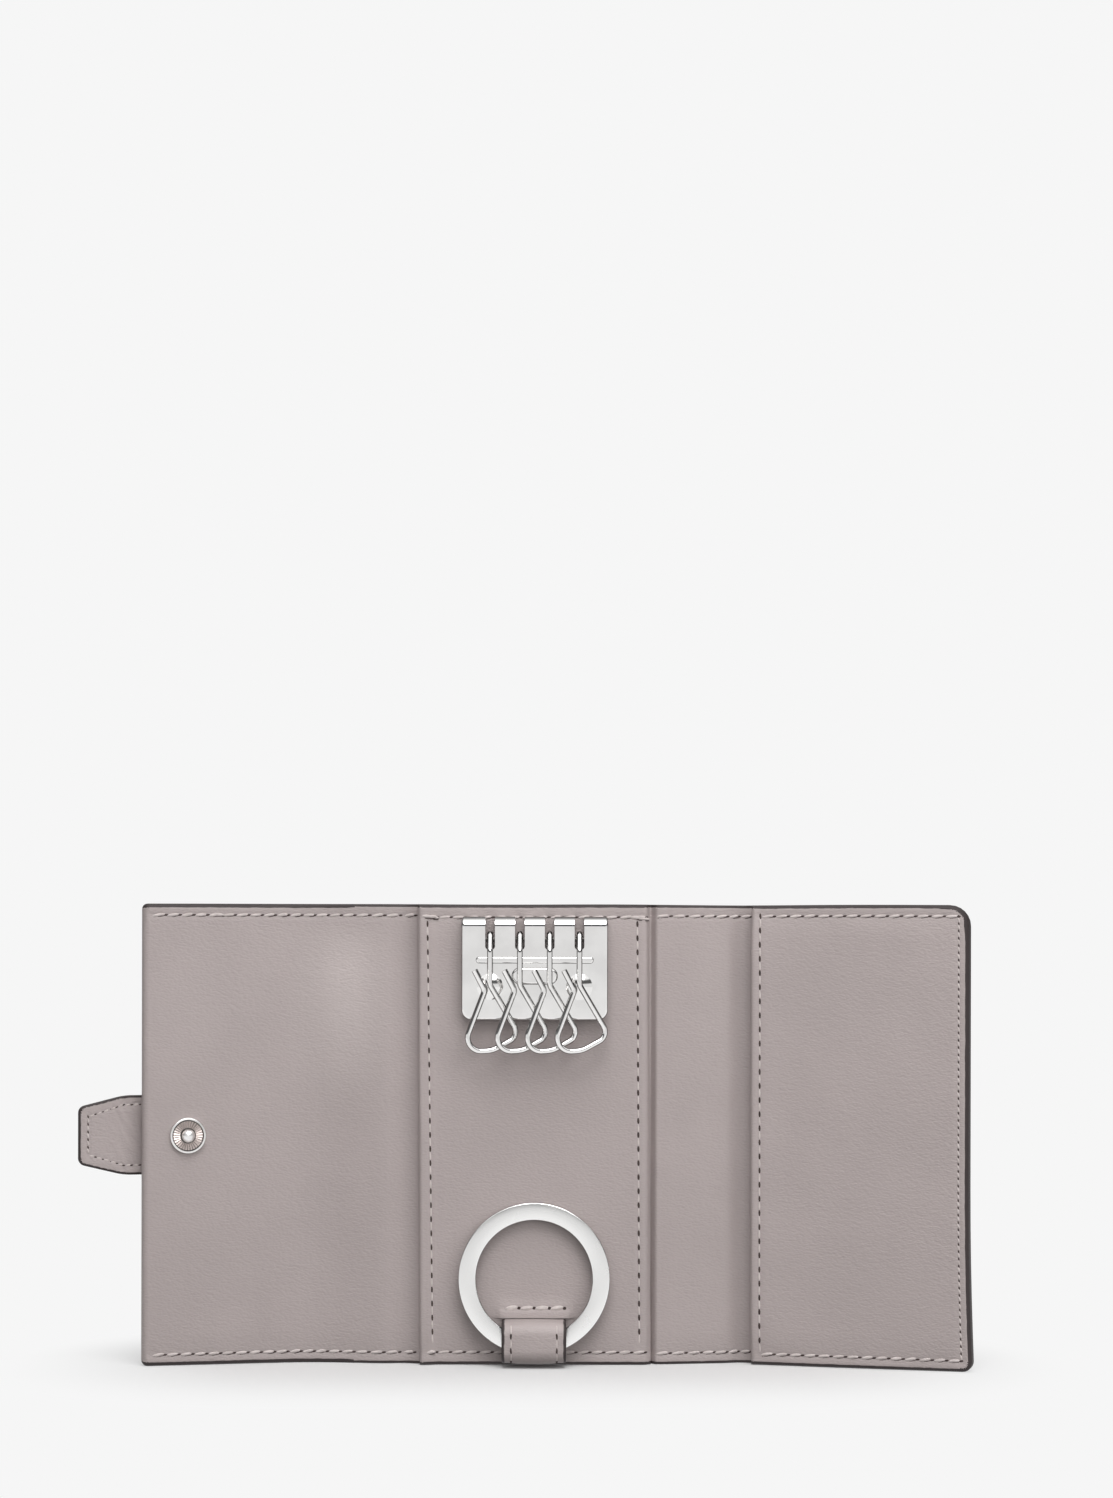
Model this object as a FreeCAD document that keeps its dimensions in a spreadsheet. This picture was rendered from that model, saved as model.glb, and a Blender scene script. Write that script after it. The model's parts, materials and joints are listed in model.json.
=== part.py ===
import FreeCAD, Part
import math
import os
import re

import Sketcher
from FreeCAD import Placement, Rotation, Vector

# A folding leather key case that stands open on its long edge, inside towards -Y.
# Every leather piece is drawn in the flat, unfolded layout, and its body is then turned about its folds.

doc = FreeCAD.newDocument("key_case")
sheet = doc.addObject("Spreadsheet::Sheet", "Sizes")

# Driving dimensions in millimetres and degrees
DIMENSIONS = (
    ("case_height", 102.0, "height of every leather panel"),
    ("back_span", 55.3, "between the two folds beside the back panel"),
    ("right_spine_width", 18.6, "between the two folds on the right"),
    ("right_panel_width", 51.3, "from the right outer fold to the free edge"),
    ("flap_width", 34.9, "from the left outer fold to the free edge"),
    ("left_lean_angle", 8.0, "left spine leaning back from flat"),
    ("flap_turn_angle", 21.0, "flap coming forward from the left spine"),
    ("right_lean_angle", 9.0, "right spine leaning back from flat"),
    ("right_turn_angle", 24.0, "right panel coming forward from the right spine"),
    ("cover_thick", 1.2, "outer leather"),
    ("lining_thick", 0.8, "spine and tab lining leather"),
    ("facing_thick", 1.0, "inner leather over a board"),
    ("board_thick", 0.8, "stiffener board"),
    ("board_margin", 3.5, "board edge inside its facing"),
    ("board_clear", 0.1, "room round a board"),
    ("fold_gap", 0.25, "open gap beside a fold's round edge"),
    ("stack_clear", 0.35, "inner layers clear of the spine when closed"),
    ("edge_round", 0.5, "burnished leather edge"),
    ("painted_round", 1.0, "thick painted edge round the right panel"),
    ("pocket_leather", 1.0, "slip pocket leather"),
    ("pocket_gap", 0.4, "slip pocket space"),
    ("pocket_seam", 3.0, "closed seam round the slip pocket"),
    ("pocket_inset", 1.1, "slip pocket's open edge beyond the lining's edge"),
    ("top_corner", 3.0, "upper corner of the right panel"),
    ("low_corner", 2.0, "lower corner of the right panel"),
    ("flap_corner", 1.0, "corners of the flap"),
    ("turned_edge", 1.0, "leather turned over the flap's free edge"),
    ("tab_reach", 13.8, "tab beyond the flap"),
    ("tab_base", 20.0, "tab sewn on the flap"),
    ("tab_root", 17.6, "tab width at the flap"),
    ("tab_tip", 12.6, "tab width at its tip"),
    ("tab_straight", 3.8, "tab of full width beyond the flap"),
    ("tab_corner", 2.4, "rounded tab corners"),
    ("tab_leather", 1.0, "outer leather of the tab"),
    ("snap_height", 50.8, "middle of the snap above the base"),
    ("stud_inset", 9.9, "stud from the flap's free edge"),
    ("stud_diameter", 7.9, "stud flange"),
    ("stud_flange", 1.0, "stud flange height"),
    ("stud_groove", 0.35, "depth of the ring cut in the flange"),
    ("stud_rim", 0.8, "polished rim outside the ring"),
    ("stud_ball", 3.0, "ball across"),
    ("stud_neck", 2.4, "neck under the ball"),
    ("stud_reach", 3.0, "top of the ball above the flap"),
    ("ball_round", 0.7, "crown of the ball"),
    ("post_head", 7.0, "hidden head of a snap post"),
    ("post_head_thick", 0.5, "thickness of that head"),
    ("post_shank", 1.8, "shank of a snap post"),
    ("post_fit", 0.05, "room round a shank"),
    ("socket_diameter", 9.6, "snap socket"),
    ("socket_floor", 0.5, "floor of the socket"),
    ("socket_round", 0.6, "socket rim"),
    ("snap_clear", 0.25, "stud flange to socket face, and end of the ball"),
    ("mouth_clear", 0.3, "ball to the socket mouth, at the radius"),
    ("spring_wire", 0.5, "wire of the socket's spring ring"),
    ("spring_clear", 0.1, "room round the spring ring"),
    ("spring_open_angle", 40.0, "gap of the spring ring"),
    ("plate_width", 32.3, "key plate"),
    ("plate_height", 22.8, "key plate"),
    ("plate_drop", 2.7, "key plate below the top edge"),
    ("plate_depth", 3.5, "key plate standing off the leather"),
    ("plate_sheet", 0.6, "sheet of the key plate"),
    ("plate_corner", 2.2, "lower corners of the key plate"),
    ("plate_roll", 2.4, "rolled top of the key plate"),
    ("plate_edge", 0.55, "pressed edge of the key plate"),
    ("slot_width", 2.15, "slot between two tongues"),
    ("slot_depth", 7.4, "slot from the plate's top"),
    ("slot_round", 0.9, "bottom of a slot"),
    ("slot_pitch", 6.57, "between slots"),
    ("bead_length", 26.0, "raised bar on the plate"),
    ("bead_width", 1.5, "raised bar on the plate"),
    ("bead_height", 0.45, "raised bar on the plate"),
    ("bead_drop", 9.6, "raised bar below the plate's top"),
    ("bead_round", 0.4, "soft edge of the raised bar"),
    ("boss_length", 10.2, "oval boss"),
    ("boss_width", 3.8, "oval boss"),
    ("boss_height", 0.7, "oval boss"),
    ("boss_drop", 13.1, "oval boss below the plate's top"),
    ("boss_round", 0.6, "soft edge of the oval boss"),
    ("rivet_diameter", 5.8, "domed rivet"),
    ("rivet_dome", 0.9, "height of the dome"),
    ("rivet_shank", 2.4, "rivet shank"),
    ("rivet_tail", 4.2, "clinched rivet tail"),
    ("rivet_fit", 0.05, "room round the rivet"),
    ("rivet_spread", 19.7, "between the two rivets"),
    ("rivet_drop", 15.5, "rivets below the plate's top"),
    ("rod_diameter", 1.0, "pivot rod of the hooks"),
    ("rod_drop", 5.0, "rod below the plate's top"),
    ("rod_setback", 1.25, "rod behind the plate's face"),
    ("rod_fit", 0.02, "room round the rod in the plate"),
    ("wire_diameter", 1.26, "hook wire"),
    ("eye_clear", 0.06, "room between rod and hook eye"),
    ("eye_wrap_angle", 255.0, "turn of the hook eye"),
    ("jog_angle", 24.0, "slope of the wire leaving the eye"),
    ("jog_round", 1.4, "bend from the slope to the stem"),
    ("hook_stand", 1.3, "stem in front of the plate"),
    ("hook_tilt_angle", 2.5, "hook leaning forward at rest"),
    ("hook_twist_angle", 13.0, "loop turned about its stem"),
    ("stem_drop", 10.15, "rod down to the stem's bend"),
    ("stem_round", 2.0, "bend under the stem"),
    ("loop_right", 6.75, "right corner of the loop beside the stem"),
    ("loop_right_drop", 21.3, "right corner below the rod"),
    ("loop_right_round", 2.4, "right bend of the loop"),
    ("loop_low", 0.6, "low bend of the loop beside the stem"),
    ("loop_low_drop", 24.6, "low bend below the rod"),
    ("loop_low_round", 6.0, "low bend of the loop"),
    ("loop_left", 6.4, "left corner of the loop beside the stem"),
    ("loop_left_drop", 25.0, "left corner below the rod"),
    ("loop_left_round", 3.0, "left bend of the loop"),
    ("gate_left", 1.15, "gate bend beside the stem"),
    ("gate_drop", 11.4, "gate bend below the rod"),
    ("gate_round", 1.6, "gate bend"),
    ("lead_left", 3.5, "free end beside the stem"),
    ("lead_drop", 7.0, "free end below the rod"),
    ("ring_diameter", 33.4, "split ring outside"),
    ("ring_band", 3.8, "width of the ring's flat wire"),
    ("ring_coil", 0.95, "thickness of one turn"),
    ("ring_slit", 0.1, "slit between the two turns"),
    ("ring_height", 19.4, "ring centre above the base when upright"),
    ("ring_ramp_angle", 24.0, "stretch where the wire climbs a turn"),
    ("ring_split_angle", 258.0, "where the wire's end lies, behind the strap"),
    ("ring_rest_clear", 0.2, "leaning ring clear of the panel"),
    ("strap_width", 14.2, "strap that holds the ring"),
    ("strap_thick", 1.2, "strap that holds the ring"),
    ("strap_bend", 2.4, "bends of the strap in front of the ring"),
    ("strap_root_bend", 0.7, "bend of the strap behind the panel"),
    ("strap_tail", 6.0, "strap end sewn behind the panel"),
    ("strap_clear", 0.2, "ring to strap, and strap to its slits"),
    ("lip_height", 1.5, "raised lip over the strap"),
    ("lip_rise", 0.5, "lip standing off the panel"),
    ("lip_over", 0.6, "lip beyond the strap on each side"),
    ("lip_round", 0.4, "soft edge of the lip"),
    ("cut_overrun", 1.0, "cutters run past the faces they cut"),
)
HOOK_COUNT = 4
RAMP_SECTIONS = 6

for row, (alias, number, meaning) in enumerate(DIMENSIONS, start=1):
    sheet.set(f"A{row}", meaning)
    sheet.set(f"B{row}", str(number))
    sheet.setAlias(f"B{row}", alias)
doc.recompute()

ALIASES = {alias for alias, number, meaning in DIMENSIONS}

# Lengths that follow from the driving dimensions, as expressions
DERIVED = {
    "half_cover": "cover_thick / 2",
    "fold_inset": "half_cover + fold_gap",
    "stack_inset": "half_cover + lining_thick + stack_clear",
    "half_back": "back_span / 2",
    "face_depth": "half_cover + board_thick + facing_thick",
    "mouth_radius": "stud_ball / 2 + mouth_clear",
    "socket_bore": "stud_reach - stud_flange",
    "socket_height": "socket_bore + socket_floor",
    "snap_stack": "half_cover + socket_height + snap_clear + stud_flange + face_depth",
    "left_spine_width": "right_spine_width + snap_stack",
    "left_fold": "half_back + left_spine_width",
    "right_fold": "half_back + right_spine_width",
    "flap_edge": "left_fold + flap_width",
    "right_edge": "right_fold + right_panel_width",
    "stud_place": "flap_edge - stud_inset",
    "socket_place": "right_fold + back_span - flap_width + stud_inset",
    "right_face": "half_cover + board_thick + lining_thick",
    "pocket_thick": "pocket_leather + pocket_gap",
    "pocket_edge": "right_fold + stack_inset + pocket_inset",
    "key_edge": "half_back - stack_inset",
    "plate_top": "case_height - plate_drop",
    "plate_low": "plate_top - plate_height",
    "plate_front": "face_depth + plate_depth",
    "rod_height": "plate_top - rod_drop",
    "rod_depth": "plate_front - rod_setback",
    "rivet_height": "plate_top - rivet_drop",
    "ring_radius": "ring_diameter / 2",
    "ring_bore": "ring_radius - ring_band",
    "ring_thick": "2 * ring_coil + ring_slit",
    "ring_low": "ring_height - ring_radius",
    "ring_high": "ring_height - sqrt(ring_bore ^ 2 - strap_width ^ 2 / 4)",
    "pivot_height": "(ring_low + ring_high) / 2",
    "ring_sweep": "sqrt((ring_high - ring_low) ^ 2 + ring_thick ^ 2) / 2",
    "loop_radius": "ring_sweep + strap_clear",
    "pivot_depth": "face_depth + loop_radius",
    "strap_high": "pivot_height + loop_radius + strap_thick / 2",
    "strap_low": "pivot_height - loop_radius - strap_thick / 2",
    "slit_half": "strap_thick / 2 + strap_clear",
    "strap_side": "strap_width / 2 + strap_clear",
    "tail_end": "strap_high + strap_tail + strap_clear",
    "panel_thick": "board_thick + facing_thick",
    "shank_hole": "post_shank / 2 + post_fit",
    "head_hole": "post_head / 2 + post_fit",
    "rivet_hole": "rivet_shank / 2 + rivet_fit",
}


def bound(text):
    """Writes a short expression out in cells of the sheet."""
    def spell(match):
        word = match.group(0)
        if word in DERIVED:
            return f"({bound(DERIVED[word])})"
        return f"{sheet.Name}.{word}" if word in ALIASES else word

    return re.sub(r"[a-z_]+", spell, text)


def size(text):
    """Gives the present value of a short expression."""
    return float(sheet.evalExpression(bound(text)))


# Where the bodies stand: each fold is an upright line in the middle of the outer leather
def folded(angle, place):
    """Turns a body about the upright fold at a place along X."""
    return Placement(Vector(), Rotation(Vector(0, 0, 1), angle), Vector(place, 0, 0))


BACK = Placement()
LEFT_SPINE = folded(-size("left_lean_angle"), -size("half_back"))
FLAP = LEFT_SPINE * folded(size("flap_turn_angle"), -size("left_fold"))
RIGHT_SPINE = folded(size("right_lean_angle"), size("half_back"))
RIGHT_PANEL = RIGHT_SPINE * folded(-size("right_turn_angle"), size("right_fold"))

subparts = []


def new_body(label, place):
    """Starts a sub-part that is drawn in sketches and stands in its folded place."""
    body = doc.addObject("PartDesign::Body", label)
    body.Label = label
    body.Placement = place
    subparts.append(body)
    return body


def new_sketch(body, plane, depth="0"):
    """Attaches a sketch to one of the body's origin planes, a depth along its normal."""
    sketch = body.newObject("Sketcher::SketchObject", f"{body.Label}_sketch")
    support = next(item for item in body.Origin.OriginFeatures if item.Role == plane)
    sketch.AttachmentSupport = [(support, "")]
    sketch.MapMode = "FlatFace"
    sketch.setExpression("AttachmentOffset.Base.z", bound(depth))
    return sketch


def hold(sketch, kind, geometry, point, text):
    """Ties one coordinate of a sketch point to an expression."""
    index = sketch.addConstraint(Sketcher.Constraint(kind, geometry, point, size(text)))
    sketch.setExpression(f"Constraints[{index}]", bound(text))


def draw_polygon(sketch, corners):
    """Draws a closed outline whose corners are pairs of expressions."""
    points = [Vector(size(across), size(along), 0) for across, along in corners]
    lines = []
    for start, end in zip(points, points[1:] + points[:1]):
        lines.append(sketch.addGeometry(Part.LineSegment(start, end)))
    for line, following in zip(lines, lines[1:] + lines[:1]):
        sketch.addConstraint(Sketcher.Constraint("Coincident", line, 2, following, 1))
    for line, (across, along) in zip(lines, corners):
        hold(sketch, "DistanceX", line, 1, across)
        hold(sketch, "DistanceY", line, 1, along)


def draw_rectangle(sketch, left, right, low, high):
    """Draws a rectangle between four expressions."""
    draw_polygon(sketch, ((left, low), (right, low), (right, high), (left, high)))


def draw_circle(sketch, across, along, radius):
    """Draws a circle at a pair of expressions."""
    middle = Vector(size(across), size(along), 0)
    circle = sketch.addGeometry(Part.Circle(middle, Vector(0, 0, 1), size(radius)))
    hold(sketch, "DistanceX", circle, 3, across)
    hold(sketch, "DistanceY", circle, 3, along)
    index = sketch.addConstraint(Sketcher.Constraint("Radius", circle, size(radius)))
    sketch.setExpression(f"Constraints[{index}]", bound(radius))


def draw_stadium(sketch, left, right, along, radius):
    """Draws a bar with round ends centred at two expressions."""
    start, end, level, reach = size(left), size(right), size(along), size(radius)
    ends = []
    for middle, side in ((start, -1), (end, 1)):
        top = Vector(middle, level + reach, 0)
        tip = Vector(middle + side * reach, level, 0)
        foot = Vector(middle, level - reach, 0)
        points = (top, tip, foot) if side < 0 else (foot, tip, top)
        ends.append(sketch.addGeometry(Part.Arc(*points)))
    left_end, right_end = ends
    low, high = level - reach, level + reach
    floor = sketch.addGeometry(Part.LineSegment(Vector(start, low, 0), Vector(end, low, 0)))
    roof = sketch.addGeometry(Part.LineSegment(Vector(end, high, 0), Vector(start, high, 0)))
    loop = (left_end, floor, right_end, roof)
    for line, following in zip(loop, loop[1:] + loop[:1]):
        sketch.addConstraint(Sketcher.Constraint("Tangent", line, 2, following, 1))
    for arc, middle in ((left_end, left), (right_end, right)):
        hold(sketch, "DistanceX", arc, 3, middle)
    hold(sketch, "DistanceY", left_end, 3, along)
    index = sketch.addConstraint(Sketcher.Constraint("Radius", left_end, size(radius)))
    sketch.setExpression(f"Constraints[{index}]", bound(radius))
    hold(sketch, "DistanceY", right_end, 3, along)


def pad(body, sketch, length):
    """Raises a sketch along its normal."""
    feature = body.newObject("PartDesign::Pad", f"{body.Label}_pad")
    feature.Profile = sketch
    feature.setExpression("Length", bound(length))
    doc.recompute()
    return feature


def pocket(body, sketch, length):
    """Cuts a sketch into the body along the sketch's normal."""
    before = body.Shape.Volume
    feature = body.newObject("PartDesign::Pocket", f"{body.Label}_pocket")
    feature.Profile = sketch
    feature.Reversed = True
    feature.setExpression("Length", bound(length))
    doc.recompute()
    if body.Shape.Volume >= before:
        raise RuntimeError(f"{feature.Name} cuts nothing")
    return feature


def fillet(body, radius, chosen):
    """Rounds the edges of the body's latest shape that a test picks."""
    base = body.Tip
    names = [f"Edge{index}" for index, edge in enumerate(base.Shape.Edges, start=1) if chosen(edge)]
    if not names:
        raise RuntimeError(f"{body.Label} has no edge to round")
    feature = body.newObject("PartDesign::Fillet", f"{body.Label}_fillet")
    feature.Base = (base, names)
    feature.setExpression("Radius", bound(radius))
    doc.recompute()
    return feature


def near(first, second):
    """Tells whether two lengths agree."""
    return math.isclose(first, second, abs_tol=size("wire_diameter") / 1000)


def along_axis(axis, **places):
    """Makes a test for straight edges that run along an axis at the given places."""
    def chosen(edge):
        start, end = edge.Vertexes[0].Point, edge.Vertexes[-1].Point
        moved = [name for name in "xyz" if not near(getattr(start, name), getattr(end, name))]
        if moved != [axis] or not isinstance(edge.Curve, Part.Line):
            return False
        return all(
            any(near(getattr(start, name), option) for option in options) for name, options in places.items()
        )

    return chosen


def in_face(axis, place):
    """Makes a test for edges that lie wholly in one flat level."""
    def chosen(edge):
        box = edge.BoundBox
        return near(getattr(box, f"{axis}Min"), place) and near(getattr(box, f"{axis}Max"), place)

    return chosen


# Leather plates and boards
def leather_plate(label, place, left, right, depth, thick):
    """Makes a full-height leather plate between two places, starting at a depth from the fold plane."""
    body = new_body(label, place)
    sketch = new_sketch(body, "XZ_Plane", depth)
    draw_rectangle(sketch, left, right, "0", "case_height")
    pad(body, sketch, thick)
    return body


def inlay(body, left, right, depth, thick):
    """Sinks the bed of a stiffener board into the back of a facing."""
    sketch = new_sketch(body, "XZ_Plane", depth)
    edge = "board_margin - board_clear"
    draw_rectangle(sketch, f"{left} + {edge}", f"{right} - ({edge})", edge, f"case_height - ({edge})")
    pocket(body, sketch, thick)


def stiffener(label, place, left, right):
    """Makes the board that lies between the outer leather and a facing."""
    body = new_body(label, place)
    sketch = new_sketch(body, "XZ_Plane", "half_cover")
    draw_rectangle(
        sketch,
        f"{left} + board_margin",
        f"{right} - board_margin",
        "board_margin",
        "case_height - board_margin",
    )
    pad(body, sketch, "board_thick")
    return body


def cutter(body, depth):
    """Starts a sketch just outside the layer that begins at a depth."""
    return new_sketch(body, "XZ_Plane", f"{depth} - cut_overrun")


def cut_through(body, sketch, thick):
    """Cuts a cutter's sketch right through a layer."""
    pocket(body, sketch, f"{thick} + 2 * cut_overrun")


def drill(body, places, radius, depth, thick):
    """Bores round holes through a layer at pairs of expressions."""
    sketch = cutter(body, depth)
    for across, along in places:
        draw_circle(sketch, across, along, radius)
    cut_through(body, sketch, thick)


def round_outline(body, radius, across, along):
    """Rounds the corners of a plate that stand at one place along X and some heights."""
    fillet(body, radius, along_axis("y", x=[size(across)], z=[size(level) for level in along]))


RIVET_SPOTS = [(f"{side} * rivet_spread / 2", "rivet_height") for side in (-1, 1)]
STUD_SPOT = [("-(stud_place)", "snap_height")]
SOCKET_SPOT = [("socket_place", "snap_height")]

# Back panel: outer leather, board and the stitched key panel
leather_plate(
    "back_cover", BACK, "-(half_back) + fold_inset", "half_back - fold_inset", "-(half_cover)", "cover_thick"
)

back_board = stiffener("back_board", BACK, "-(key_edge)", "key_edge")
tail_bay = cutter(back_board, "half_cover")
draw_rectangle(tail_bay, "-(strap_side)", "strap_side", "board_margin - cut_overrun", "tail_end")
cut_through(back_board, tail_bay, "board_thick")
drill(back_board, RIVET_SPOTS, "rivet_tail / 2 + rivet_fit", "half_cover", "board_thick")

key_panel = leather_plate(
    "key_panel", BACK, "-(key_edge)", "key_edge", "half_cover", "panel_thick"
)
fillet(key_panel, "edge_round", along_axis("z", y=[-size("face_depth")]))
inlay(key_panel, "-(key_edge)", "key_edge", "half_cover", "board_thick")
tail_bed = new_sketch(key_panel, "XZ_Plane", "half_cover")
draw_rectangle(tail_bed, "-(strap_side)", "strap_side", "strap_high - slit_half", "tail_end")
pocket(key_panel, tail_bed, "strap_thick + strap_clear / 2")
slits = cutter(key_panel, "half_cover")
for level in ("strap_high", "strap_low"):
    draw_rectangle(slits, "-(strap_side)", "strap_side", f"{level} - slit_half", f"{level} + slit_half")
cut_through(key_panel, slits, "panel_thick")
drill(key_panel, RIVET_SPOTS, "rivet_hole", "half_cover", "panel_thick")
lip = new_sketch(key_panel, "XZ_Plane", "face_depth")
draw_rectangle(
    lip,
    "-(strap_width / 2 + lip_over)",
    "strap_width / 2 + lip_over",
    "strap_high + slit_half",
    "strap_high + slit_half + lip_height",
)
pad(key_panel, lip, "lip_rise")
fillet(key_panel, "lip_round", in_face("Y", -size("face_depth + lip_rise")))


# Spines: outer leather with round folding edges, and a lining
def spine_cover(label, place, left, right):
    """Makes outer leather whose round upright edges are centred on its two folds."""
    body = new_body(label, place)
    sketch = new_sketch(body, "XY_Plane")
    draw_stadium(sketch, left, right, "0", "half_cover")
    pad(body, sketch, "case_height")


spine_cover("left_spine_cover", LEFT_SPINE, "-(left_fold)", "-(half_back)")
leather_plate(
    "left_spine_lining", LEFT_SPINE, "-(left_fold) + fold_inset", "-(half_back) - fold_inset", "half_cover",
    "lining_thick",
)
spine_cover("right_spine_cover", RIGHT_SPINE, "half_back", "right_fold")
leather_plate(
    "right_spine_lining", RIGHT_SPINE, "half_back + fold_inset", "right_fold - fold_inset", "half_cover",
    "lining_thick",
)

# Flap: outer leather turned over the free edge, board and lining
flap_cover = new_body("flap_cover", FLAP)
flap_section = new_sketch(flap_cover, "XY_Plane")
draw_polygon(
    flap_section,
    (
        ("-(left_fold) - fold_inset", "half_cover"),
        ("-(flap_edge)", "half_cover"),
        ("-(flap_edge)", "-(face_depth)"),
        ("-(flap_edge) + turned_edge", "-(face_depth)"),
        ("-(flap_edge) + turned_edge", "-(half_cover)"),
        ("-(left_fold) - fold_inset", "-(half_cover)"),
    ),
)
pad(flap_cover, flap_section, "case_height")
round_outline(flap_cover, "flap_corner", "-(flap_edge)", ["0", "case_height"])
fillet(
    flap_cover,
    "edge_round",
    along_axis("z", x=[-size("flap_edge")], y=[size("half_cover"), -size("face_depth")]),
)
drill(flap_cover, STUD_SPOT, "shank_hole", "-(half_cover)", "cover_thick")

FLAP_LINING_EDGES = ("-(flap_edge) + turned_edge", "-(left_fold) - stack_inset")
flap_board = stiffener("flap_board", FLAP, *FLAP_LINING_EDGES)
drill(flap_board, STUD_SPOT, "shank_hole", "half_cover", "board_thick")
flap_lining = leather_plate("flap_lining", FLAP, *FLAP_LINING_EDGES, "half_cover", "panel_thick")
inlay(flap_lining, *FLAP_LINING_EDGES, "half_cover", "board_thick")
drill(flap_lining, STUD_SPOT, "shank_hole", "half_cover", "panel_thick")


# Tab: two leathers sewn on the outside of the flap
def tab_layer(label, depth, thick):
    """Makes one leather of the tab, parallel at the flap and drawn in to its tip."""
    body = new_body(label, FLAP)
    sketch = new_sketch(body, "XZ_Plane", depth)
    base, shoulder, tip = "-(flap_edge) + tab_base", "-(flap_edge) - tab_straight", "-(flap_edge) - tab_reach"
    low_side = ((base, "root"), (shoulder, "root"), (tip, "tip"))
    corners = [(across, f"snap_height - tab_{end} / 2") for across, end in low_side]
    corners += [(across, f"snap_height + tab_{end} / 2") for across, end in reversed(low_side)]
    draw_polygon(sketch, corners)
    pad(body, sketch, thick)
    fillet(body, "tab_corner", along_axis("y", x=[size(base), size(tip)]))
    return body


tab_lining = tab_layer("tab_lining", "-(half_cover + lining_thick)", "lining_thick")
drill(tab_lining, STUD_SPOT, "head_hole", "-(half_cover + lining_thick)", "lining_thick")
tab_layer("tab_outer", "-(half_cover + lining_thick + tab_leather)", "tab_leather")

# Right panel: outer leather, board, lining and the slip pocket
RIGHT_LINING_EDGES = ("right_fold + stack_inset", "right_edge")


def round_right_corners(body):
    """Rounds the free corners that all the layers of the right panel share."""
    round_outline(body, "top_corner", "right_edge", ["case_height"])
    round_outline(body, "low_corner", "right_edge", ["0"])


right_cover = leather_plate(
    "right_cover", RIGHT_PANEL, "right_fold + fold_inset", "right_edge", "-(half_cover)", "cover_thick"
)
round_right_corners(right_cover)
fillet(right_cover, "painted_round", along_axis("z", x=[size("right_edge")], y=[size("half_cover")]))
drill(right_cover, SOCKET_SPOT, "shank_hole", "-(half_cover)", "cover_thick")

right_board = stiffener("right_board", RIGHT_PANEL, *RIGHT_LINING_EDGES)
drill(right_board, SOCKET_SPOT, "head_hole", "half_cover", "board_thick")
right_lining = leather_plate(
    "right_lining", RIGHT_PANEL, *RIGHT_LINING_EDGES, "half_cover", "board_thick + lining_thick"
)
round_right_corners(right_lining)
inlay(right_lining, *RIGHT_LINING_EDGES, "half_cover", "board_thick")

POCKET_EDGES = ("pocket_edge", "right_edge")
slip_pocket = leather_plate("slip_pocket", RIGHT_PANEL, *POCKET_EDGES, "right_face", "pocket_thick")
round_right_corners(slip_pocket)
POCKET_FACE = -size("right_face + pocket_thick")
fillet(slip_pocket, "painted_round", along_axis("z", x=[size("right_edge")], y=[POCKET_FACE]))
fillet(slip_pocket, "edge_round", along_axis("z", x=[size("pocket_edge")], y=[POCKET_FACE]))
pocket_space = new_sketch(slip_pocket, "XZ_Plane", "right_face")
draw_rectangle(
    pocket_space,
    "pocket_edge - cut_overrun",
    "right_edge - pocket_seam",
    "pocket_seam",
    "case_height - pocket_seam",
)
pocket(slip_pocket, pocket_space, "pocket_gap")


# Turned metal pieces: profiles of radius against depth, spun about a line along Y
def spun(label, place, across, along, corners, opening="0"):
    """Spins a closed profile about the Y line through a pair of expressions, less an opening angle."""
    spot = Placement(Vector(size(across), 0, size(along)), Rotation())
    body = new_body(label, place * spot)
    sketch = new_sketch(body, "XY_Plane")
    draw_polygon(sketch, corners)
    feature = body.newObject("PartDesign::Revolution", f"{label}_revolution")
    feature.Profile = sketch
    feature.ReferenceAxis = (sketch, ["V_Axis"])
    feature.setExpression("Angle", f"360 - {bound(opening)}")
    doc.recompute()
    return body


# Snap fastener: stud inside the flap, socket outside the right panel
GROOVE_FLOOR = "-(face_depth + stud_flange - stud_groove)"
FLANGE_TOP = "-(face_depth + stud_flange)"
BALL_TOP = "-(face_depth + stud_reach)"
snap_stud = spun(
    "snap_stud",
    FLAP,
    *STUD_SPOT[0],
    (
        ("0", BALL_TOP),
        ("stud_ball / 2", BALL_TOP),
        ("stud_ball / 2", f"{FLANGE_TOP} - stud_groove"),
        ("stud_neck / 2", FLANGE_TOP),
        ("stud_neck / 2", GROOVE_FLOOR),
        ("stud_diameter / 2 - stud_rim", GROOVE_FLOOR),
        ("stud_diameter / 2 - stud_rim", FLANGE_TOP),
        ("stud_diameter / 2", FLANGE_TOP),
        ("stud_diameter / 2", "-(face_depth)"),
        ("shank_hole", "-(face_depth)"),
        ("shank_hole", "-(face_depth + stud_flange / 2)"),
        ("0", "-(face_depth + stud_flange / 2)"),
    ),
)
fillet(snap_stud, "ball_round", in_face("Y", size(BALL_TOP)))

spun(
    "stud_post",
    FLAP,
    *STUD_SPOT[0],
    (
        ("0", "half_cover + post_head_thick"),
        ("post_head / 2", "half_cover + post_head_thick"),
        ("post_head / 2", "half_cover"),
        ("post_shank / 2", "half_cover"),
        ("post_shank / 2", "-(face_depth + stud_flange / 2)"),
        ("0", "-(face_depth + stud_flange / 2)"),
    ),
)

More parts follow.
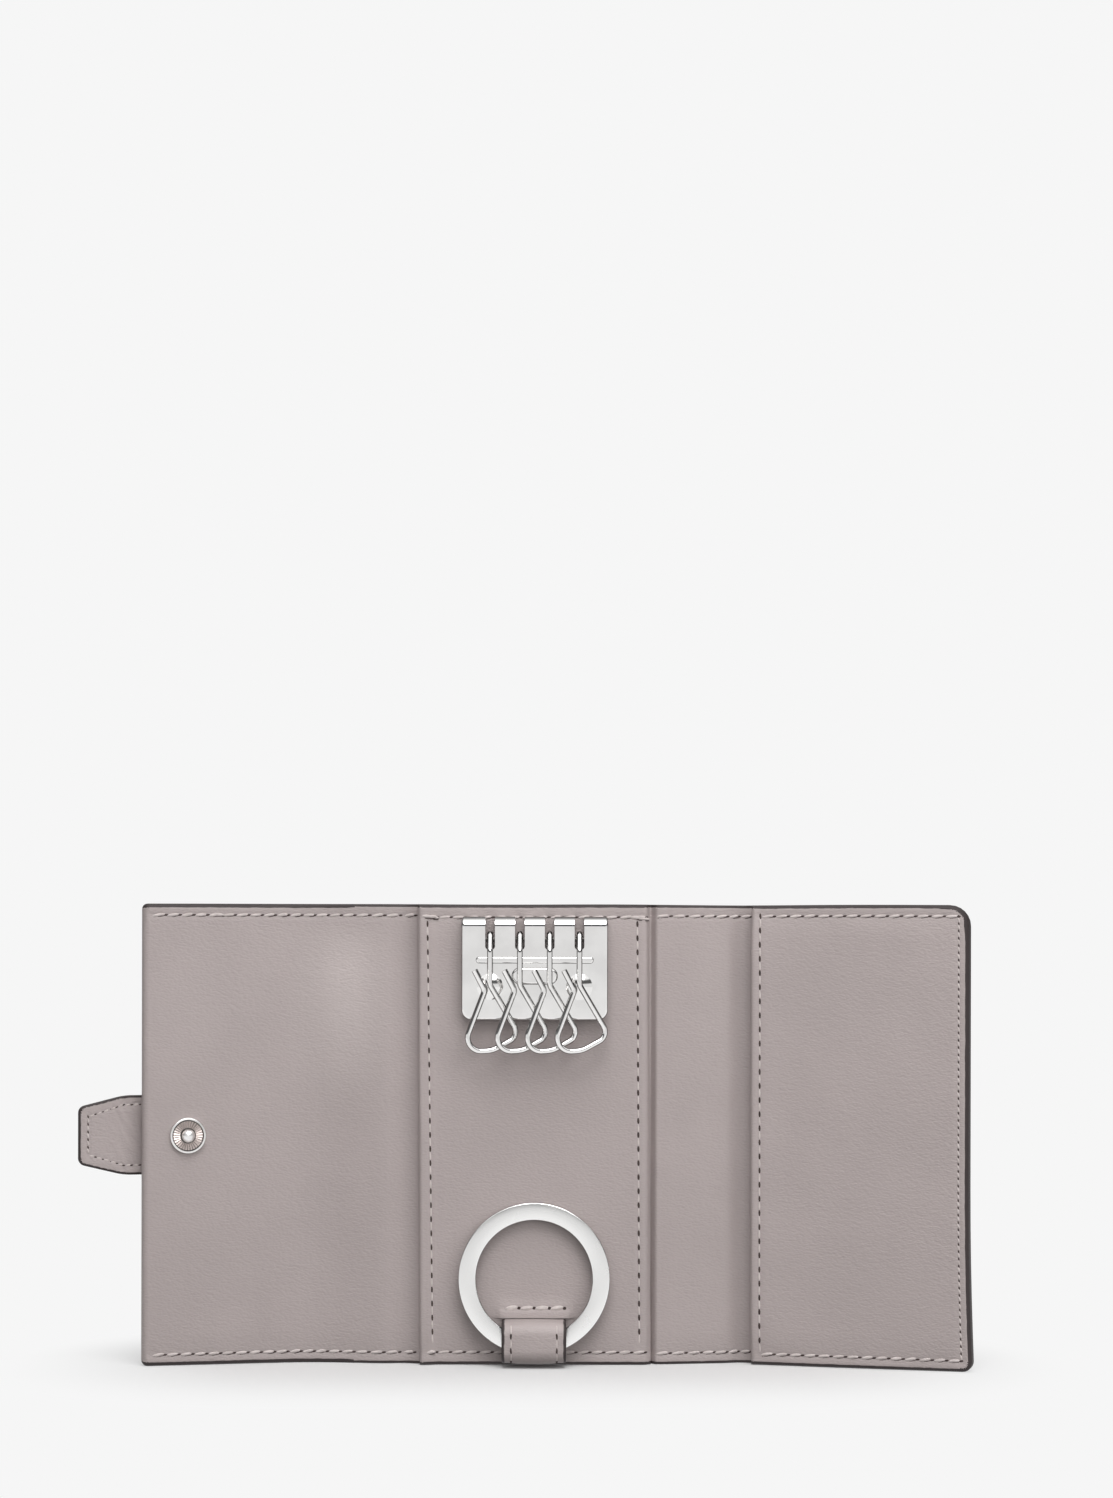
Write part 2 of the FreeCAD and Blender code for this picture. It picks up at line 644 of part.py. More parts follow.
SOCKET_FACE = "half_cover + socket_height"
SPRING_TOP = f"{SOCKET_FACE} - socket_round"
SPRING_FOOT = f"{SPRING_TOP} - spring_wire - 2 * spring_clear"
GROOVE_RADIUS = "mouth_radius + spring_wire + spring_clear"
snap_socket = spun(
    "snap_socket",
    RIGHT_PANEL,
    *SOCKET_SPOT[0],
    (
        ("shank_hole", "half_cover"),
        ("socket_diameter / 2", "half_cover"),
        ("socket_diameter / 2", SOCKET_FACE),
        ("mouth_radius", SOCKET_FACE),
        ("mouth_radius", SPRING_TOP),
        (GROOVE_RADIUS, SPRING_TOP),
        (GROOVE_RADIUS, SPRING_FOOT),
        ("mouth_radius", SPRING_FOOT),
        ("mouth_radius", "half_cover + socket_floor"),
        ("shank_hole", "half_cover + socket_floor"),
    ),
)


def socket_rim(edge):
    """Tells whether an edge is the outer edge of the socket's face."""
    in_front = in_face("Y", size(SOCKET_FACE))(edge)
    return in_front and near(edge.BoundBox.XLength, size("socket_diameter"))


fillet(snap_socket, "socket_round", socket_rim)

spun(
    "socket_spring",
    RIGHT_PANEL,
    *SOCKET_SPOT[0],
    (
        ("mouth_radius", f"{SPRING_TOP} - spring_clear"),
        ("mouth_radius + spring_wire", f"{SPRING_TOP} - spring_clear"),
        ("mouth_radius + spring_wire", f"{SPRING_FOOT} + spring_clear"),
        ("mouth_radius", f"{SPRING_FOOT} + spring_clear"),
    ),
    opening="spring_open_angle",
)

spun(
    "socket_post",
    RIGHT_PANEL,
    *SOCKET_SPOT[0],
    (
        ("0", "half_cover + socket_floor"),
        ("post_shank / 2", "half_cover + socket_floor"),
        ("post_shank / 2", "-(half_cover)"),
        ("post_head / 2", "-(half_cover)"),
        ("post_head / 2", "-(half_cover + post_head_thick)"),
        ("0", "-(half_cover + post_head_thick)"),
    ),
)

# Key plate: a pressed tray with a rolled top, cut into tongues
hook_plate = new_body("hook_plate", BACK)
plate_outline = new_sketch(hook_plate, "XZ_Plane", "face_depth")
draw_rectangle(plate_outline, "-plate_width / 2", "plate_width / 2", "plate_low", "plate_top")
pad(hook_plate, plate_outline, "plate_depth")
fillet(hook_plate, "plate_corner", along_axis("y", z=[size("plate_low")]))
rolled_plate = fillet(
    hook_plate, "plate_roll", along_axis("x", y=[-size("plate_front")], z=[size("plate_top")])
)
open_back = next(
    f"Face{index}"
    for index, face in enumerate(hook_plate.Tip.Shape.Faces, start=1)
    if in_face("Y", -size("face_depth"))(face)
)
tray = hook_plate.newObject("PartDesign::Thickness", "hook_plate_tray")
tray.Base = (rolled_plate, [open_back])
tray.setExpression("Value", bound("plate_sheet"))
tray.Reversed = True
doc.recompute()
SIDES = [-size("plate_width / 2"), size("plate_width / 2")]
fillet(hook_plate, "plate_edge", along_axis("z", x=SIDES, y=[-size("plate_front")]))
for pressing in ("bead", "boss"):
    raised = new_sketch(hook_plate, "XZ_Plane", "plate_front")
    half_run = f"({pressing}_length - {pressing}_width) / 2"
    draw_stadium(raised, f"-{half_run}", half_run, f"plate_top - {pressing}_drop", f"{pressing}_width / 2")
    pad(hook_plate, raised, f"{pressing}_height")
    fillet(hook_plate, f"{pressing}_round", in_face("Y", -size(f"plate_front + {pressing}_height")))
drill(hook_plate, RIVET_SPOTS, "rivet_hole", "plate_front - plate_sheet", "plate_sheet")
rod_bore = new_sketch(hook_plate, "YZ_Plane", "-plate_width / 2 - cut_overrun")
draw_circle(rod_bore, "-(rod_depth)", "rod_height", "rod_diameter / 2 + rod_fit")
pocket(hook_plate, rod_bore, "plate_width + 2 * cut_overrun")
slot = cutter(hook_plate, "face_depth")
FIRST_SLOT = f"-slot_pitch * {(HOOK_COUNT - 1) / 2}"
draw_rectangle(
    slot,
    f"{FIRST_SLOT} - slot_width / 2",
    f"{FIRST_SLOT} + slot_width / 2",
    "plate_top - slot_depth",
    "plate_top + cut_overrun",
)
first_slot = pocket(hook_plate, slot, "plate_depth + 2 * cut_overrun")
slots = hook_plate.newObject("PartDesign::LinearPattern", "hook_plate_slots")
slots.Originals = [first_slot]
slots.Direction = (slot, ["H_Axis"])
slots.setExpression("Length", bound(f"slot_pitch * {HOOK_COUNT - 1}"))
slots.Occurrences = HOOK_COUNT
hook_plate.Tip = slots
doc.recompute()
fillet(hook_plate, "slot_round", along_axis("y", z=[size("plate_top - slot_depth")]))

# Rivets of the key plate, clinched in the board layer
DOME_RADIUS = size("(rivet_diameter ^ 2 / 4 + rivet_dome ^ 2) / (2 * rivet_dome)")


def rivet(across, along):
    """Makes one domed rivet about a Y line."""
    spot = Vector(across, 0, along)
    front = Vector(0, -size("plate_front"), 0)
    crown = Vector(0, -size("plate_front + rivet_dome"), 0)
    ball = Part.makeSphere(DOME_RADIUS, spot + crown + Vector(0, DOME_RADIUS, 0))
    towards_front = Vector(0, -1, 0)
    radius, dome = size("rivet_diameter / 2"), size("rivet_dome")
    head = ball.common(Part.makeCylinder(radius, dome, spot + front, towards_front))
    tail_face = spot - Vector(0, size("half_cover"), 0)
    tail = Part.makeCylinder(size("rivet_tail / 2"), size("board_thick"), tail_face, towards_front)
    shank_length = size("plate_front - half_cover")
    shank = Part.makeCylinder(size("rivet_shank / 2"), shank_length, tail_face, towards_front)
    return head.fuse([shank, tail]).removeSplitter()


def shaped(label, shape, place=Placement()):
    """Adds a sub-part whose shape is worked out directly from the sheet."""
    part = doc.addObject("Part::Feature", label)
    part.Label = label
    part.Shape = shape
    part.Placement = place
    subparts.append(part)
    return part


shaped("plate_rivets", Part.makeCompound([rivet(size(across), size(along)) for across, along in RIVET_SPOTS]))

# Pivot rod of the hooks, held in the sides of the key plate
pivot_rod = doc.addObject("Part::Cylinder", "pivot_rod")
pivot_rod.Label = "pivot_rod"
pivot_rod.setExpression("Radius", bound("rod_diameter / 2"))
pivot_rod.setExpression("Height", bound("plate_width"))
pivot_rod.Placement = Placement(
    Vector(-size("plate_width / 2"), -size("rod_depth"), size("rod_height")), Rotation(Vector(0, 1, 0), 90)
)
subparts.append(pivot_rod)


# Bent wire and strap: straight runs joined by tangent arcs
def bent_path(points, radii):
    """Joins points with straight runs and rounds each inner point with a tangent arc."""
    edges = []
    start = points[0]
    for before, corner, after, radius in zip(points, points[1:], points[2:], radii):
        inward = (before - corner).normalize()
        outward = (after - corner).normalize()
        half_angle = inward.getAngle(outward) / 2
        reach = radius / math.tan(half_angle)
        middle = (inward + outward).normalize() * (radius / math.sin(half_angle) - radius)
        entry, leave = corner + inward * reach, corner + outward * reach
        edges.append(Part.LineSegment(start, entry).toShape())
        edges.append(Part.Arc(entry, corner + middle, leave).toShape())
        start = leave
    edges.append(Part.LineSegment(start, points[-1]).toShape())
    return edges


def swept(section, edges):
    """Sweeps a closed section along a chain of edges."""
    shell = Part.BRepOffsetAPI.MakePipeShell(Part.Wire(edges))
    shell.add(section)
    shell.build()
    shell.makeSolid()
    return shell.shape()


# Key hooks: an eye round the rod, a stem in front of the plate and a sprung pear-shaped loop
EYE_RADIUS = size("rod_diameter / 2 + eye_clear + wire_diameter / 2")


def eye_point(angle):
    """Gives a point of the eye's centre line, counted in degrees up from its foremost point."""
    turn = math.radians(angle)
    return Vector(0, -EYE_RADIUS * math.cos(turn), EYE_RADIUS * math.sin(turn))


def hook_shape():
    """Bends one hook about the rod at the origin."""
    slope = size("jog_angle")
    wrap = size("eye_wrap_angle")
    leave = eye_point(slope)
    stem_y = -size("rod_setback + hook_stand")
    run_down = (leave.y - stem_y) / math.tan(math.radians(slope))
    stem_top = Vector(0, stem_y, leave.z - run_down)
    twist = Rotation(Vector(0, 0, 1), size("hook_twist_angle"))

    def loop_point(across, drop):
        return Vector(0, stem_y, -size(drop)) + twist.multVec(Vector(across, 0, 0))

    points = [
        leave,
        stem_top,
        loop_point(0, "stem_drop"),
        loop_point(size("loop_right"), "loop_right_drop"),
        loop_point(size("loop_low"), "loop_low_drop"),
        loop_point(-size("loop_left"), "loop_left_drop"),
        loop_point(-size("gate_left"), "gate_drop"),
        loop_point(-size("lead_left"), "lead_drop"),
    ]
    bends = ("jog_round", "stem_round", "loop_right_round", "loop_low_round", "loop_left_round", "gate_round")
    radii = [size(bend) for bend in bends]
    start, upper, back, lower = (eye_point(slope + wrap * quarter / 4) for quarter in (4, 3, 2, 1))
    eye = [Part.Arc(start, upper, back).toShape(), Part.Arc(back, lower, leave).toShape()]
    facing = Vector(0, start.z, -start.y)
    section = Part.Wire(Part.makeCircle(size("wire_diameter / 2"), start, facing))
    return swept(section, eye + bent_path(points, radii))


HOOK = hook_shape()
for index in range(HOOK_COUNT):
    across = size("slot_pitch") * (index - (HOOK_COUNT - 1) / 2)
    on_rod = Vector(across, -size("rod_depth"), size("rod_height"))
    tilt = Rotation(Vector(1, 0, 0), -size("hook_tilt_angle"))
    shaped(f"key_hook_{index + 1}", HOOK.copy(), Placement(on_rod, tilt))


# Split ring: two flat turns of one wire, with a short ramp between them
def ring_section(level, angle):
    """Draws the flat wire's section, facing along the ring, at a level and an angle in degrees."""
    inner, outer, thick = size("ring_bore"), size("ring_radius"), size("ring_coil")
    corners = [
        Vector(inner, level, 0), Vector(outer, level, 0), Vector(outer, level - thick, 0),
        Vector(inner, level - thick, 0),
    ]
    wire = Part.makePolygon(corners + corners[:1])
    wire.rotate(Vector(), Vector(0, 1, 0), -angle)
    return wire


def ring_shape():
    """Makes the ring about the Y line through the origin, half its thickness each side."""
    back_level = size("ring_thick / 2")
    front_level = -size("ring_slit / 2")
    ramp, split = size("ring_ramp_angle"), size("ring_split_angle")
    rise = front_level - back_level
    shares = [step / (RAMP_SECTIONS - 1) for step in range(RAMP_SECTIONS)]
    climb = [ring_section(back_level + rise * share, split + ramp * share) for share in shares]
    turns = []
    for level in (back_level, front_level):
        face = Part.Face(ring_section(level, split + ramp))
        turns.append(face.revolve(Vector(), Vector(0, 1, 0), ramp - 360))
    return turns[0].fuse([Part.makeLoft(climb, True, True), turns[1]])


REACH = size("ring_height - pivot_height")
LEAN = math.degrees(
    math.asin(size("(loop_radius - ring_thick / 2 - ring_rest_clear)") / (REACH + size("ring_radius")))
)
pivot = Vector(0, -size("pivot_depth"), size("pivot_height"))
upright = Placement(pivot + Vector(0, 0, REACH), Rotation())
leaning = Placement(Vector(), Rotation(Vector(1, 0, 0), -LEAN), pivot)
shaped("split_ring", ring_shape(), leaning * upright)


# Strap: sewn behind the panel, out through the upper slit, round the ring and in at the lower slit
def strap_shape():
    """Sweeps the strap's section along its loop in the middle of the panel."""
    tail = -size("half_cover + strap_thick / 2")
    front = -size("pivot_depth + loop_radius + strap_thick / 2")
    high, low = size("strap_high"), size("strap_low")
    points = [
        Vector(0, tail, high + size("strap_tail")),
        Vector(0, tail, high),
        Vector(0, front, high),
        Vector(0, front, low),
        Vector(0, -size("half_cover"), low),
    ]
    side, half = size("strap_width / 2"), size("strap_thick / 2")
    level = high + size("strap_tail")
    corners = [
        Vector(-side, tail - half, level), Vector(side, tail - half, level), Vector(side, tail + half, level),
        Vector(-side, tail + half, level),
    ]
    section = Part.makePolygon(corners + corners[:1])
    bends = ("strap_root_bend", "strap_bend", "strap_bend")
    return swept(section, bent_path(points, [size(bend) for bend in bends]))


shaped("ring_strap", strap_shape())

# Every piece is sound before anything is written
doc.recompute()
for item in doc.Objects:
    if "Invalid" in item.State or "Error" in item.State:
        raise RuntimeError(f"{item.Name} failed: {item.State}")
for part in subparts:
    if part.Shape.isNull() or not part.Shape.isValid():
        raise RuntimeError(f"{part.Label} has no valid shape")

os.makedirs("parts", exist_ok=True)
for part in subparts:
    part.Shape.exportStep(f"parts/{part.Label}.step")
    print(part.Label, len(part.Shape.Solids), round(part.Shape.Volume, 2))
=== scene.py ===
"""Dresses a folding leather key case: draped leather, stitching, bright metal, stage, light and camera.

Leather is cut in the flat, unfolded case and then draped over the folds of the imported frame.
Flat places are in millimetres: along the case from the middle of its back, up from the surface
that it stands on, and deep from the middle of the outer leather towards the inside of the case.
"""

import json
import logging
import math
import random
from dataclasses import dataclass, field
from enum import Enum
from typing import Callable, Iterable, Optional, Sequence

import bmesh
import bpy
from mathutils import Matrix, Vector, noise


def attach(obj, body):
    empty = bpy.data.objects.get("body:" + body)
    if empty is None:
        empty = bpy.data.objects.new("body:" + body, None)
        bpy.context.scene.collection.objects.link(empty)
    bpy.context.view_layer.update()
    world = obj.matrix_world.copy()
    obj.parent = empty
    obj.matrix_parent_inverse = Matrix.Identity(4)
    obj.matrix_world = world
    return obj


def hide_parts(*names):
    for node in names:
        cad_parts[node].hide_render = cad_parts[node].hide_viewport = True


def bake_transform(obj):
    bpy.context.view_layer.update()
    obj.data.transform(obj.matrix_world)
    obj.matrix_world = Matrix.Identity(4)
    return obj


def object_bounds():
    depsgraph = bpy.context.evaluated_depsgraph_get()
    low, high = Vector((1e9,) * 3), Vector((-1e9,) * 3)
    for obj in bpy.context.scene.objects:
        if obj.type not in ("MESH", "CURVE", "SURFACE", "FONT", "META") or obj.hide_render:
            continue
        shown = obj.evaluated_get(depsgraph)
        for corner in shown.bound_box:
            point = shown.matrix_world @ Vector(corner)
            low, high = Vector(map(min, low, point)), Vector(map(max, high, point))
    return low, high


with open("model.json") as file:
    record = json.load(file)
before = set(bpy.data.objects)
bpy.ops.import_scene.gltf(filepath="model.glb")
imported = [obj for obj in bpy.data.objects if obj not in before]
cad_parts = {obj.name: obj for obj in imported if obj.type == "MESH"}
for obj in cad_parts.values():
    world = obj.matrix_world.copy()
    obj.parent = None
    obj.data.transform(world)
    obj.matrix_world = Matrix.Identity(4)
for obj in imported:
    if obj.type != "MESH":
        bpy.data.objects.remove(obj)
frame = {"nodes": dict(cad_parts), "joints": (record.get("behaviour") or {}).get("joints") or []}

log = logging.getLogger("key_case")

MM = 0.001
CAD_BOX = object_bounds()
TINY = 1e-4
SHARP_ANGLE = math.radians(35)
FULL_SPAN = (0.0, 1.0)
NOISE_SPAN = (0.3, 0.7)
SECTION_SEGMENTS = 3

Colour = tuple[float, float, float, float]
Relief = Callable[[float, float], float]


def no_relief(along: float, height: float) -> float:
    """Leaves a surface as it is."""
    return 0.0


def ease(low: float, high: float, value: float) -> float:
    """Rises smoothly from 0 to 1 between two values.

    Args:
        low: Where the rise starts.
        high: Where it ends.
        value: The place to read.

    Returns:
        A share between 0 and 1.
    """
    share = min(1.0, max(0.0, (value - low) / (high - low)))
    return share * share * (3 - 2 * share)


def spaced(start: float, end: float, step: float) -> list[float]:
    """Divides a stretch evenly.

    Args:
        start: One end.
        end: The other end.
        step: The widest step.

    Returns:
        The inner places, without the two ends.
    """
    count = max(1, math.ceil(abs(end - start) / step))
    return [start + (end - start) * index / count for index in range(1, count)]


class NodeTree:
    """Adds nodes to one shader tree and links them."""

    def __init__(self, tree: bpy.types.NodeTree) -> None:
        """Keeps the tree that is being wired."""
        self.tree = tree

    def add(self, kind: str, **settings: object) -> bpy.types.Node:
        """Adds one node.

        Args:
            kind: The node's type name.
            **settings: Values for the node's own properties.

        Returns:
            The new node.
        """
        node = self.tree.nodes.new(kind)
        for name, value in settings.items():
            setattr(node, name, value)
        return node

    def link(self, source: bpy.types.NodeSocket, target: bpy.types.NodeSocket) -> None:
        """Joins an output to an input."""
        self.tree.links.new(source, target)

    def feed(self, target: bpy.types.NodeSocket, value: object) -> None:
        """Links a socket, or sets a number or colour, on an input."""
        if isinstance(value, bpy.types.NodeSocket):
            self.link(value, target)
        else:
            target.default_value = value

    def math(self, operation: str, *values: object) -> bpy.types.NodeSocket:
        """Adds a Math node.

        Args:
            operation: The node's operation.
            *values: Sockets or numbers for its inputs.

        Returns:
            The result's socket.
        """
        node = self.add("ShaderNodeMath", operation=operation)
        for target, value in zip(node.inputs, values):
            self.feed(target, value)
        return node.outputs[0]

    def remap(
        self, value: bpy.types.NodeSocket, source: Sequence[float], target: Sequence[float] = FULL_SPAN
    ) -> bpy.types.NodeSocket:
        """Adds a smooth Map Range node.

        Args:
            value: The socket to map.
            source: Lowest and highest value that come in.
            target: Lowest and highest value that go out.

        Returns:
            The mapped value's socket.
        """
        node = self.add("ShaderNodeMapRange", interpolation_type="SMOOTHSTEP")
        self.link(value, node.inputs["Value"])
        names = ("From Min", "From Max", "To Min", "To Max")
        for name, number in zip(names, (*source, *target)):
            node.inputs[name].default_value = number
        return node.outputs["Result"]

    def mix(self, share: bpy.types.NodeSocket, first: object, second: object) -> bpy.types.NodeSocket:
        """Mixes two colours by a share.

        Args:
            share: The socket that says how much of the second shows.
            first: A colour or a colour socket.
            second: A colour or a colour socket.

        Returns:
            The mixed colour's socket.
        """
        node = self.add("ShaderNodeMix", data_type="RGBA")
        factor, start, end = node.inputs[0], node.inputs[6], node.inputs[7]
        self.link(share, factor)
        self.feed(start, first)
        self.feed(end, second)
        return node.outputs[2]

    def noise(self, vector: bpy.types.NodeSocket, scale: object, detail: float = 2.0) -> bpy.types.NodeSocket:
        """Adds a Noise texture.

        Args:
            vector: The coordinates.
            scale: Features per metre, a number or a socket.
            detail: Octaves of detail.

        Returns:
            The noise value's socket.
        """
        node = self.add("ShaderNodeTexNoise")
        self.link(vector, node.inputs["Vector"])
        self.feed(node.inputs["Scale"], scale)
        node.inputs["Detail"].default_value = detail
        return node.outputs["Fac"]

    def stretched(self, vector: bpy.types.NodeSocket, scale: Sequence[object]) -> bpy.types.NodeSocket:
        """Scales coordinates along each axis.

        Args:
            vector: The coordinates.
            scale: A number or a socket for each axis.

        Returns:
            The scaled coordinates.
        """
        factors = self.add("ShaderNodeCombineXYZ")
        for target, value in zip(factors.inputs, scale):
            self.feed(target, value)
        node = self.add("ShaderNodeVectorMath", operation="MULTIPLY")
        self.link(vector, node.inputs[0])
        self.link(factors.outputs[0], node.inputs[1])
        return node.outputs[0]

    def blend(self, share: bpy.types.NodeSocket, *shaders: bpy.types.Node) -> bpy.types.Node:
        """Mixes two shaders by a share.

        Args:
            share: The socket that says how much of the second shows.
            *shaders: The two shaders.

        Returns:
            The mixing node.
        """
        node = self.add("ShaderNodeMixShader")
        for target, source in zip(node.inputs, (share, *(shader.outputs[0] for shader in shaders))):
            self.link(source, target)
        return node


class Effect(Enum):
    """Shared surface effects, each one a node group that is built once."""

    GRAIN = "leather_grain"
    HANDLING = "metal_handling"
    FIBRE = "spun_fibre"


class EffectLibrary:
    """Builds the shared node groups and places them in materials."""

    FINE_SHARE = 0.55
    PEBBLE_RISE = -0.7
    HAIRLINE_STRETCH = (0.06, 1.0, 1.0)

    def __init__(self) -> None:
        """Starts with no group built."""
        self.groups: dict[Effect, bpy.types.NodeTree] = {}

    def place(self, board: NodeTree, effect: Effect, **values: object) -> bpy.types.Node:
        """Places an effect in a material.

        Args:
            board: The material's tree.
            effect: The effect to place.
            **values: Numbers or sockets for its inputs, by name.

        Returns:
            The group node.
        """
        if effect not in self.groups:
            maker = {Effect.GRAIN: self._grain, Effect.HANDLING: self._handling, Effect.FIBRE: self._fibre}
            self.groups[effect] = maker[effect]()
        node = board.add("ShaderNodeGroup", node_tree=self.groups[effect])
        for name, value in values.items():
            board.feed(node.inputs[name], value)
        return node

    def _start(
        self, effect: Effect, inputs: Iterable[str], outputs: Iterable[str]
    ) -> tuple[NodeTree, bpy.types.NodeInputs, bpy.types.NodeInputs]:
        """Starts a group with a Vector input, number inputs and number outputs.

        Args:
            effect: The effect that the group makes.
            inputs: Names of its number inputs.
            outputs: Names of its number outputs.

        Returns:
            The tree, its input sockets and its output sockets, by name.
        """
        group = bpy.data.node_groups.new(effect.value, "ShaderNodeTree")
        group.interface.new_socket("Vector", in_out="INPUT", socket_type="NodeSocketVector")
        for name in inputs:
            group.interface.new_socket(name, in_out="INPUT", socket_type="NodeSocketFloat")
        for name in outputs:
            group.interface.new_socket(name, in_out="OUTPUT", socket_type="NodeSocketFloat")
        board = NodeTree(group)
        entry, leave = board.add("NodeGroupInput"), board.add("NodeGroupOutput")
        return board, entry.outputs, leave.inputs

    def _grain(self) -> bpy.types.NodeTree:
        """Makes fine, slightly drawn-out leather grain, faint creases and a slow change of tone.

        Returns:
            The node group.
        """
        board, given, made = self._start(Effect.GRAIN, ("Cells", "Stretch", "Patches"), ("Height", "Tone"))
        drawn = board.stretched(given["Vector"], (1.0, 1.0, given["Stretch"]))
        pebbles = board.add("ShaderNodeTexVoronoi", feature="SMOOTH_F1")
        board.link(drawn, pebbles.inputs["Vector"])
        board.link(given["Cells"], pebbles.inputs["Scale"])
        fine = board.noise(drawn, board.math("MULTIPLY", given["Cells"], self.FINE_SHARE), detail=3.0)
        cells = board.math("MULTIPLY", pebbles.outputs["Distance"], self.PEBBLE_RISE)
        board.link(board.math("ADD", cells, fine), made["Height"])
        board.link(board.noise(given["Vector"], given["Patches"], detail=4.0), made["Tone"])
        return board.tree

    def _handling(self) -> bpy.types.NodeTree:
        """Makes the faint smears and hairlines of handled metal.

        Returns:
            The node group.
        """
        board, given, made = self._start(Effect.HANDLING, ("Smears", "Hairlines"), ("Smear", "Scratch"))
        board.link(board.noise(given["Vector"], given["Smears"], detail=3.0), made["Smear"])
        lengthwise = board.stretched(given["Vector"], self.HAIRLINE_STRETCH)
        board.link(board.noise(lengthwise, given["Hairlines"], detail=1.0), made["Scratch"])
        return board.tree

    def _fibre(self) -> bpy.types.NodeTree:
        """Makes the fine fibres of thread and board.

        Returns:
            The node group.
        """
        board, given, made = self._start(Effect.FIBRE, ("Fibres", "Patches"), ("Height", "Tone"))
        board.link(board.noise(given["Vector"], given["Fibres"]), made["Height"])
        board.link(board.noise(given["Vector"], given["Patches"]), made["Tone"])
        return board.tree


EFFECTS = EffectLibrary()


def start_material(name: str) -> tuple[bpy.types.Material, NodeTree, bpy.types.Node, bpy.types.NodeSocket]:
    """Starts a material with a Principled shader.

    Args:
        name: The material's name.

    Returns:
        The material, its tree, its shader and the piece's Object coordinates.
    """
    material = bpy.data.materials.new(name)
    material.use_nodes = True
    board = NodeTree(material.node_tree)
    shader = material.node_tree.nodes["Principled BSDF"]
    coordinates = board.add("ShaderNodeTexCoord")
    return material, board, shader, coordinates.outputs["Object"]


def add_bump(board: NodeTree, shader: bpy.types.Node, height: bpy.types.NodeSocket, distance: float) -> None:
    """Gives a shader a bump.

    Args:
        board: The material's tree.
        shader: The shader that gets the normal.
        height: The bump's height.
        distance: The depth of the bump in metres.
    """
    bump = board.add("ShaderNodeBump")
    bump.inputs["Distance"].default_value = distance
    board.link(height, bump.inputs["Height"])
    board.link(bump.outputs["Normal"], shader.inputs["Normal"])


@dataclass(frozen=True)
class LeatherFinish:
    """Smooth dyed leather, with dark painted edges and a painted highlight near the top of soft bends, by the
    piece's attributes.
    """

    name: str
    light: Colour
    dark: Colour
    paint: Colour
    # The colour of the painted highlight near the top of the soft bends, mixed in by the "stretch" attribute.
    stretched: Colour
    roughness: float = 0.5
    paint_roughness: float = 0.6
    grain_depth: float = 0.00009
    cells: float = 1500.0
    stretch: float = 2.0
    patches: float = 55.0
    paint_edge: tuple[float, float] = (0.14, 0.24)
    paint_wander: float = 0.2
    paint_waves: float = 420.0
    gloss_change: float = 0.03
    specular: float = 0.4

    def build(self) -> bpy.types.Material:
        """Wires the material.

        Returns:
            The material.
        """
        material, board, shader, place = start_material(self.name)
        grain = EFFECTS.place(
            board, Effect.GRAIN, Vector=place, Cells=self.cells, Stretch=self.stretch, Patches=self.patches
        )
        attribute = board.add("ShaderNodeAttribute", attribute_name="paint")
        wander = board.math("SUBTRACT", board.noise(place, self.paint_waves), 0.5)
        edge = board.math("MULTIPLY_ADD", wander, self.paint_wander, attribute.outputs["Fac"])
        painted = board.remap(edge, self.paint_edge)
        bare = board.math("SUBTRACT", 1.0, painted)
        hide = board.mix(board.remap(grain.outputs["Tone"], NOISE_SPAN), self.dark, self.light)
        # Painted highlight: the "stretch" attribute lightens the colour near the top of the soft bends, in
        # place of the sheen that light gives there.
        bend = board.add("ShaderNodeAttribute", attribute_name="stretch")
        hide = board.mix(bend.outputs["Fac"], hide, self.stretched)
        board.link(board.mix(painted, hide, self.paint), shader.inputs["Base Color"])
        glossy = (self.roughness - self.gloss_change, self.roughness + self.gloss_change)
        gloss = board.remap(grain.outputs["Tone"], NOISE_SPAN, glossy)
        change = board.math("MULTIPLY", painted, self.paint_roughness - self.roughness)
        board.link(board.math("ADD", gloss, change), shader.inputs["Roughness"])
        shader.inputs["Specular IOR Level"].default_value = self.specular
        add_bump(board, shader, board.math("MULTIPLY", grain.outputs["Height"], bare), self.grain_depth)
        return material


@dataclass(frozen=True)
class MetalFinish:
    """Plated or bare metal with faint smears and hairlines, and a painted reflection of a room's unlit side
    that darkens its colour towards the rims.
    """

    name: str
    light: Colour
    dark: Colour
    roughness: tuple[float, float]
    # rim is the colour of the painted reflection at the rims, mixed in by how far a face turns from the view.
    rim: Colour = (0.22, 0.215, 0.21, 1)
    painted_rim_turn: tuple[float, float] = (0.25, 0.48)
    smears: float = 160.0
    smear_span: tuple[float, float] = (0.35, 0.65)
    hairlines: float = 2600.0
    scratch_depth: float = 0.0000004

    def build(self) -> bpy.types.Material:
        """Wires the material.

        Returns:
            The material.
        """
        material, board, shader, place = start_material(self.name)
        worn = EFFECTS.place(
            board, Effect.HANDLING, Vector=place, Smears=self.smears, Hairlines=self.hairlines
        )
        tone = board.remap(worn.outputs["Smear"], self.smear_span)
        weight = board.add("ShaderNodeLayerWeight")
        # Painted reflection: the colour darkens towards the rims, standing in for the unlit side of a room
        # mirrored there.
        rim = board.remap(weight.outputs["Facing"], self.painted_rim_turn)
        face = board.mix(tone, self.dark, self.light)
        board.link(board.mix(rim, face, self.rim), shader.inputs["Base Color"])
        gloss = board.remap(worn.outputs["Smear"], NOISE_SPAN, self.roughness)
        board.link(gloss, shader.inputs["Roughness"])
        shader.inputs["Metallic"].default_value = 1.0
        add_bump(board, shader, worn.outputs["Scratch"], self.scratch_depth)
        return material


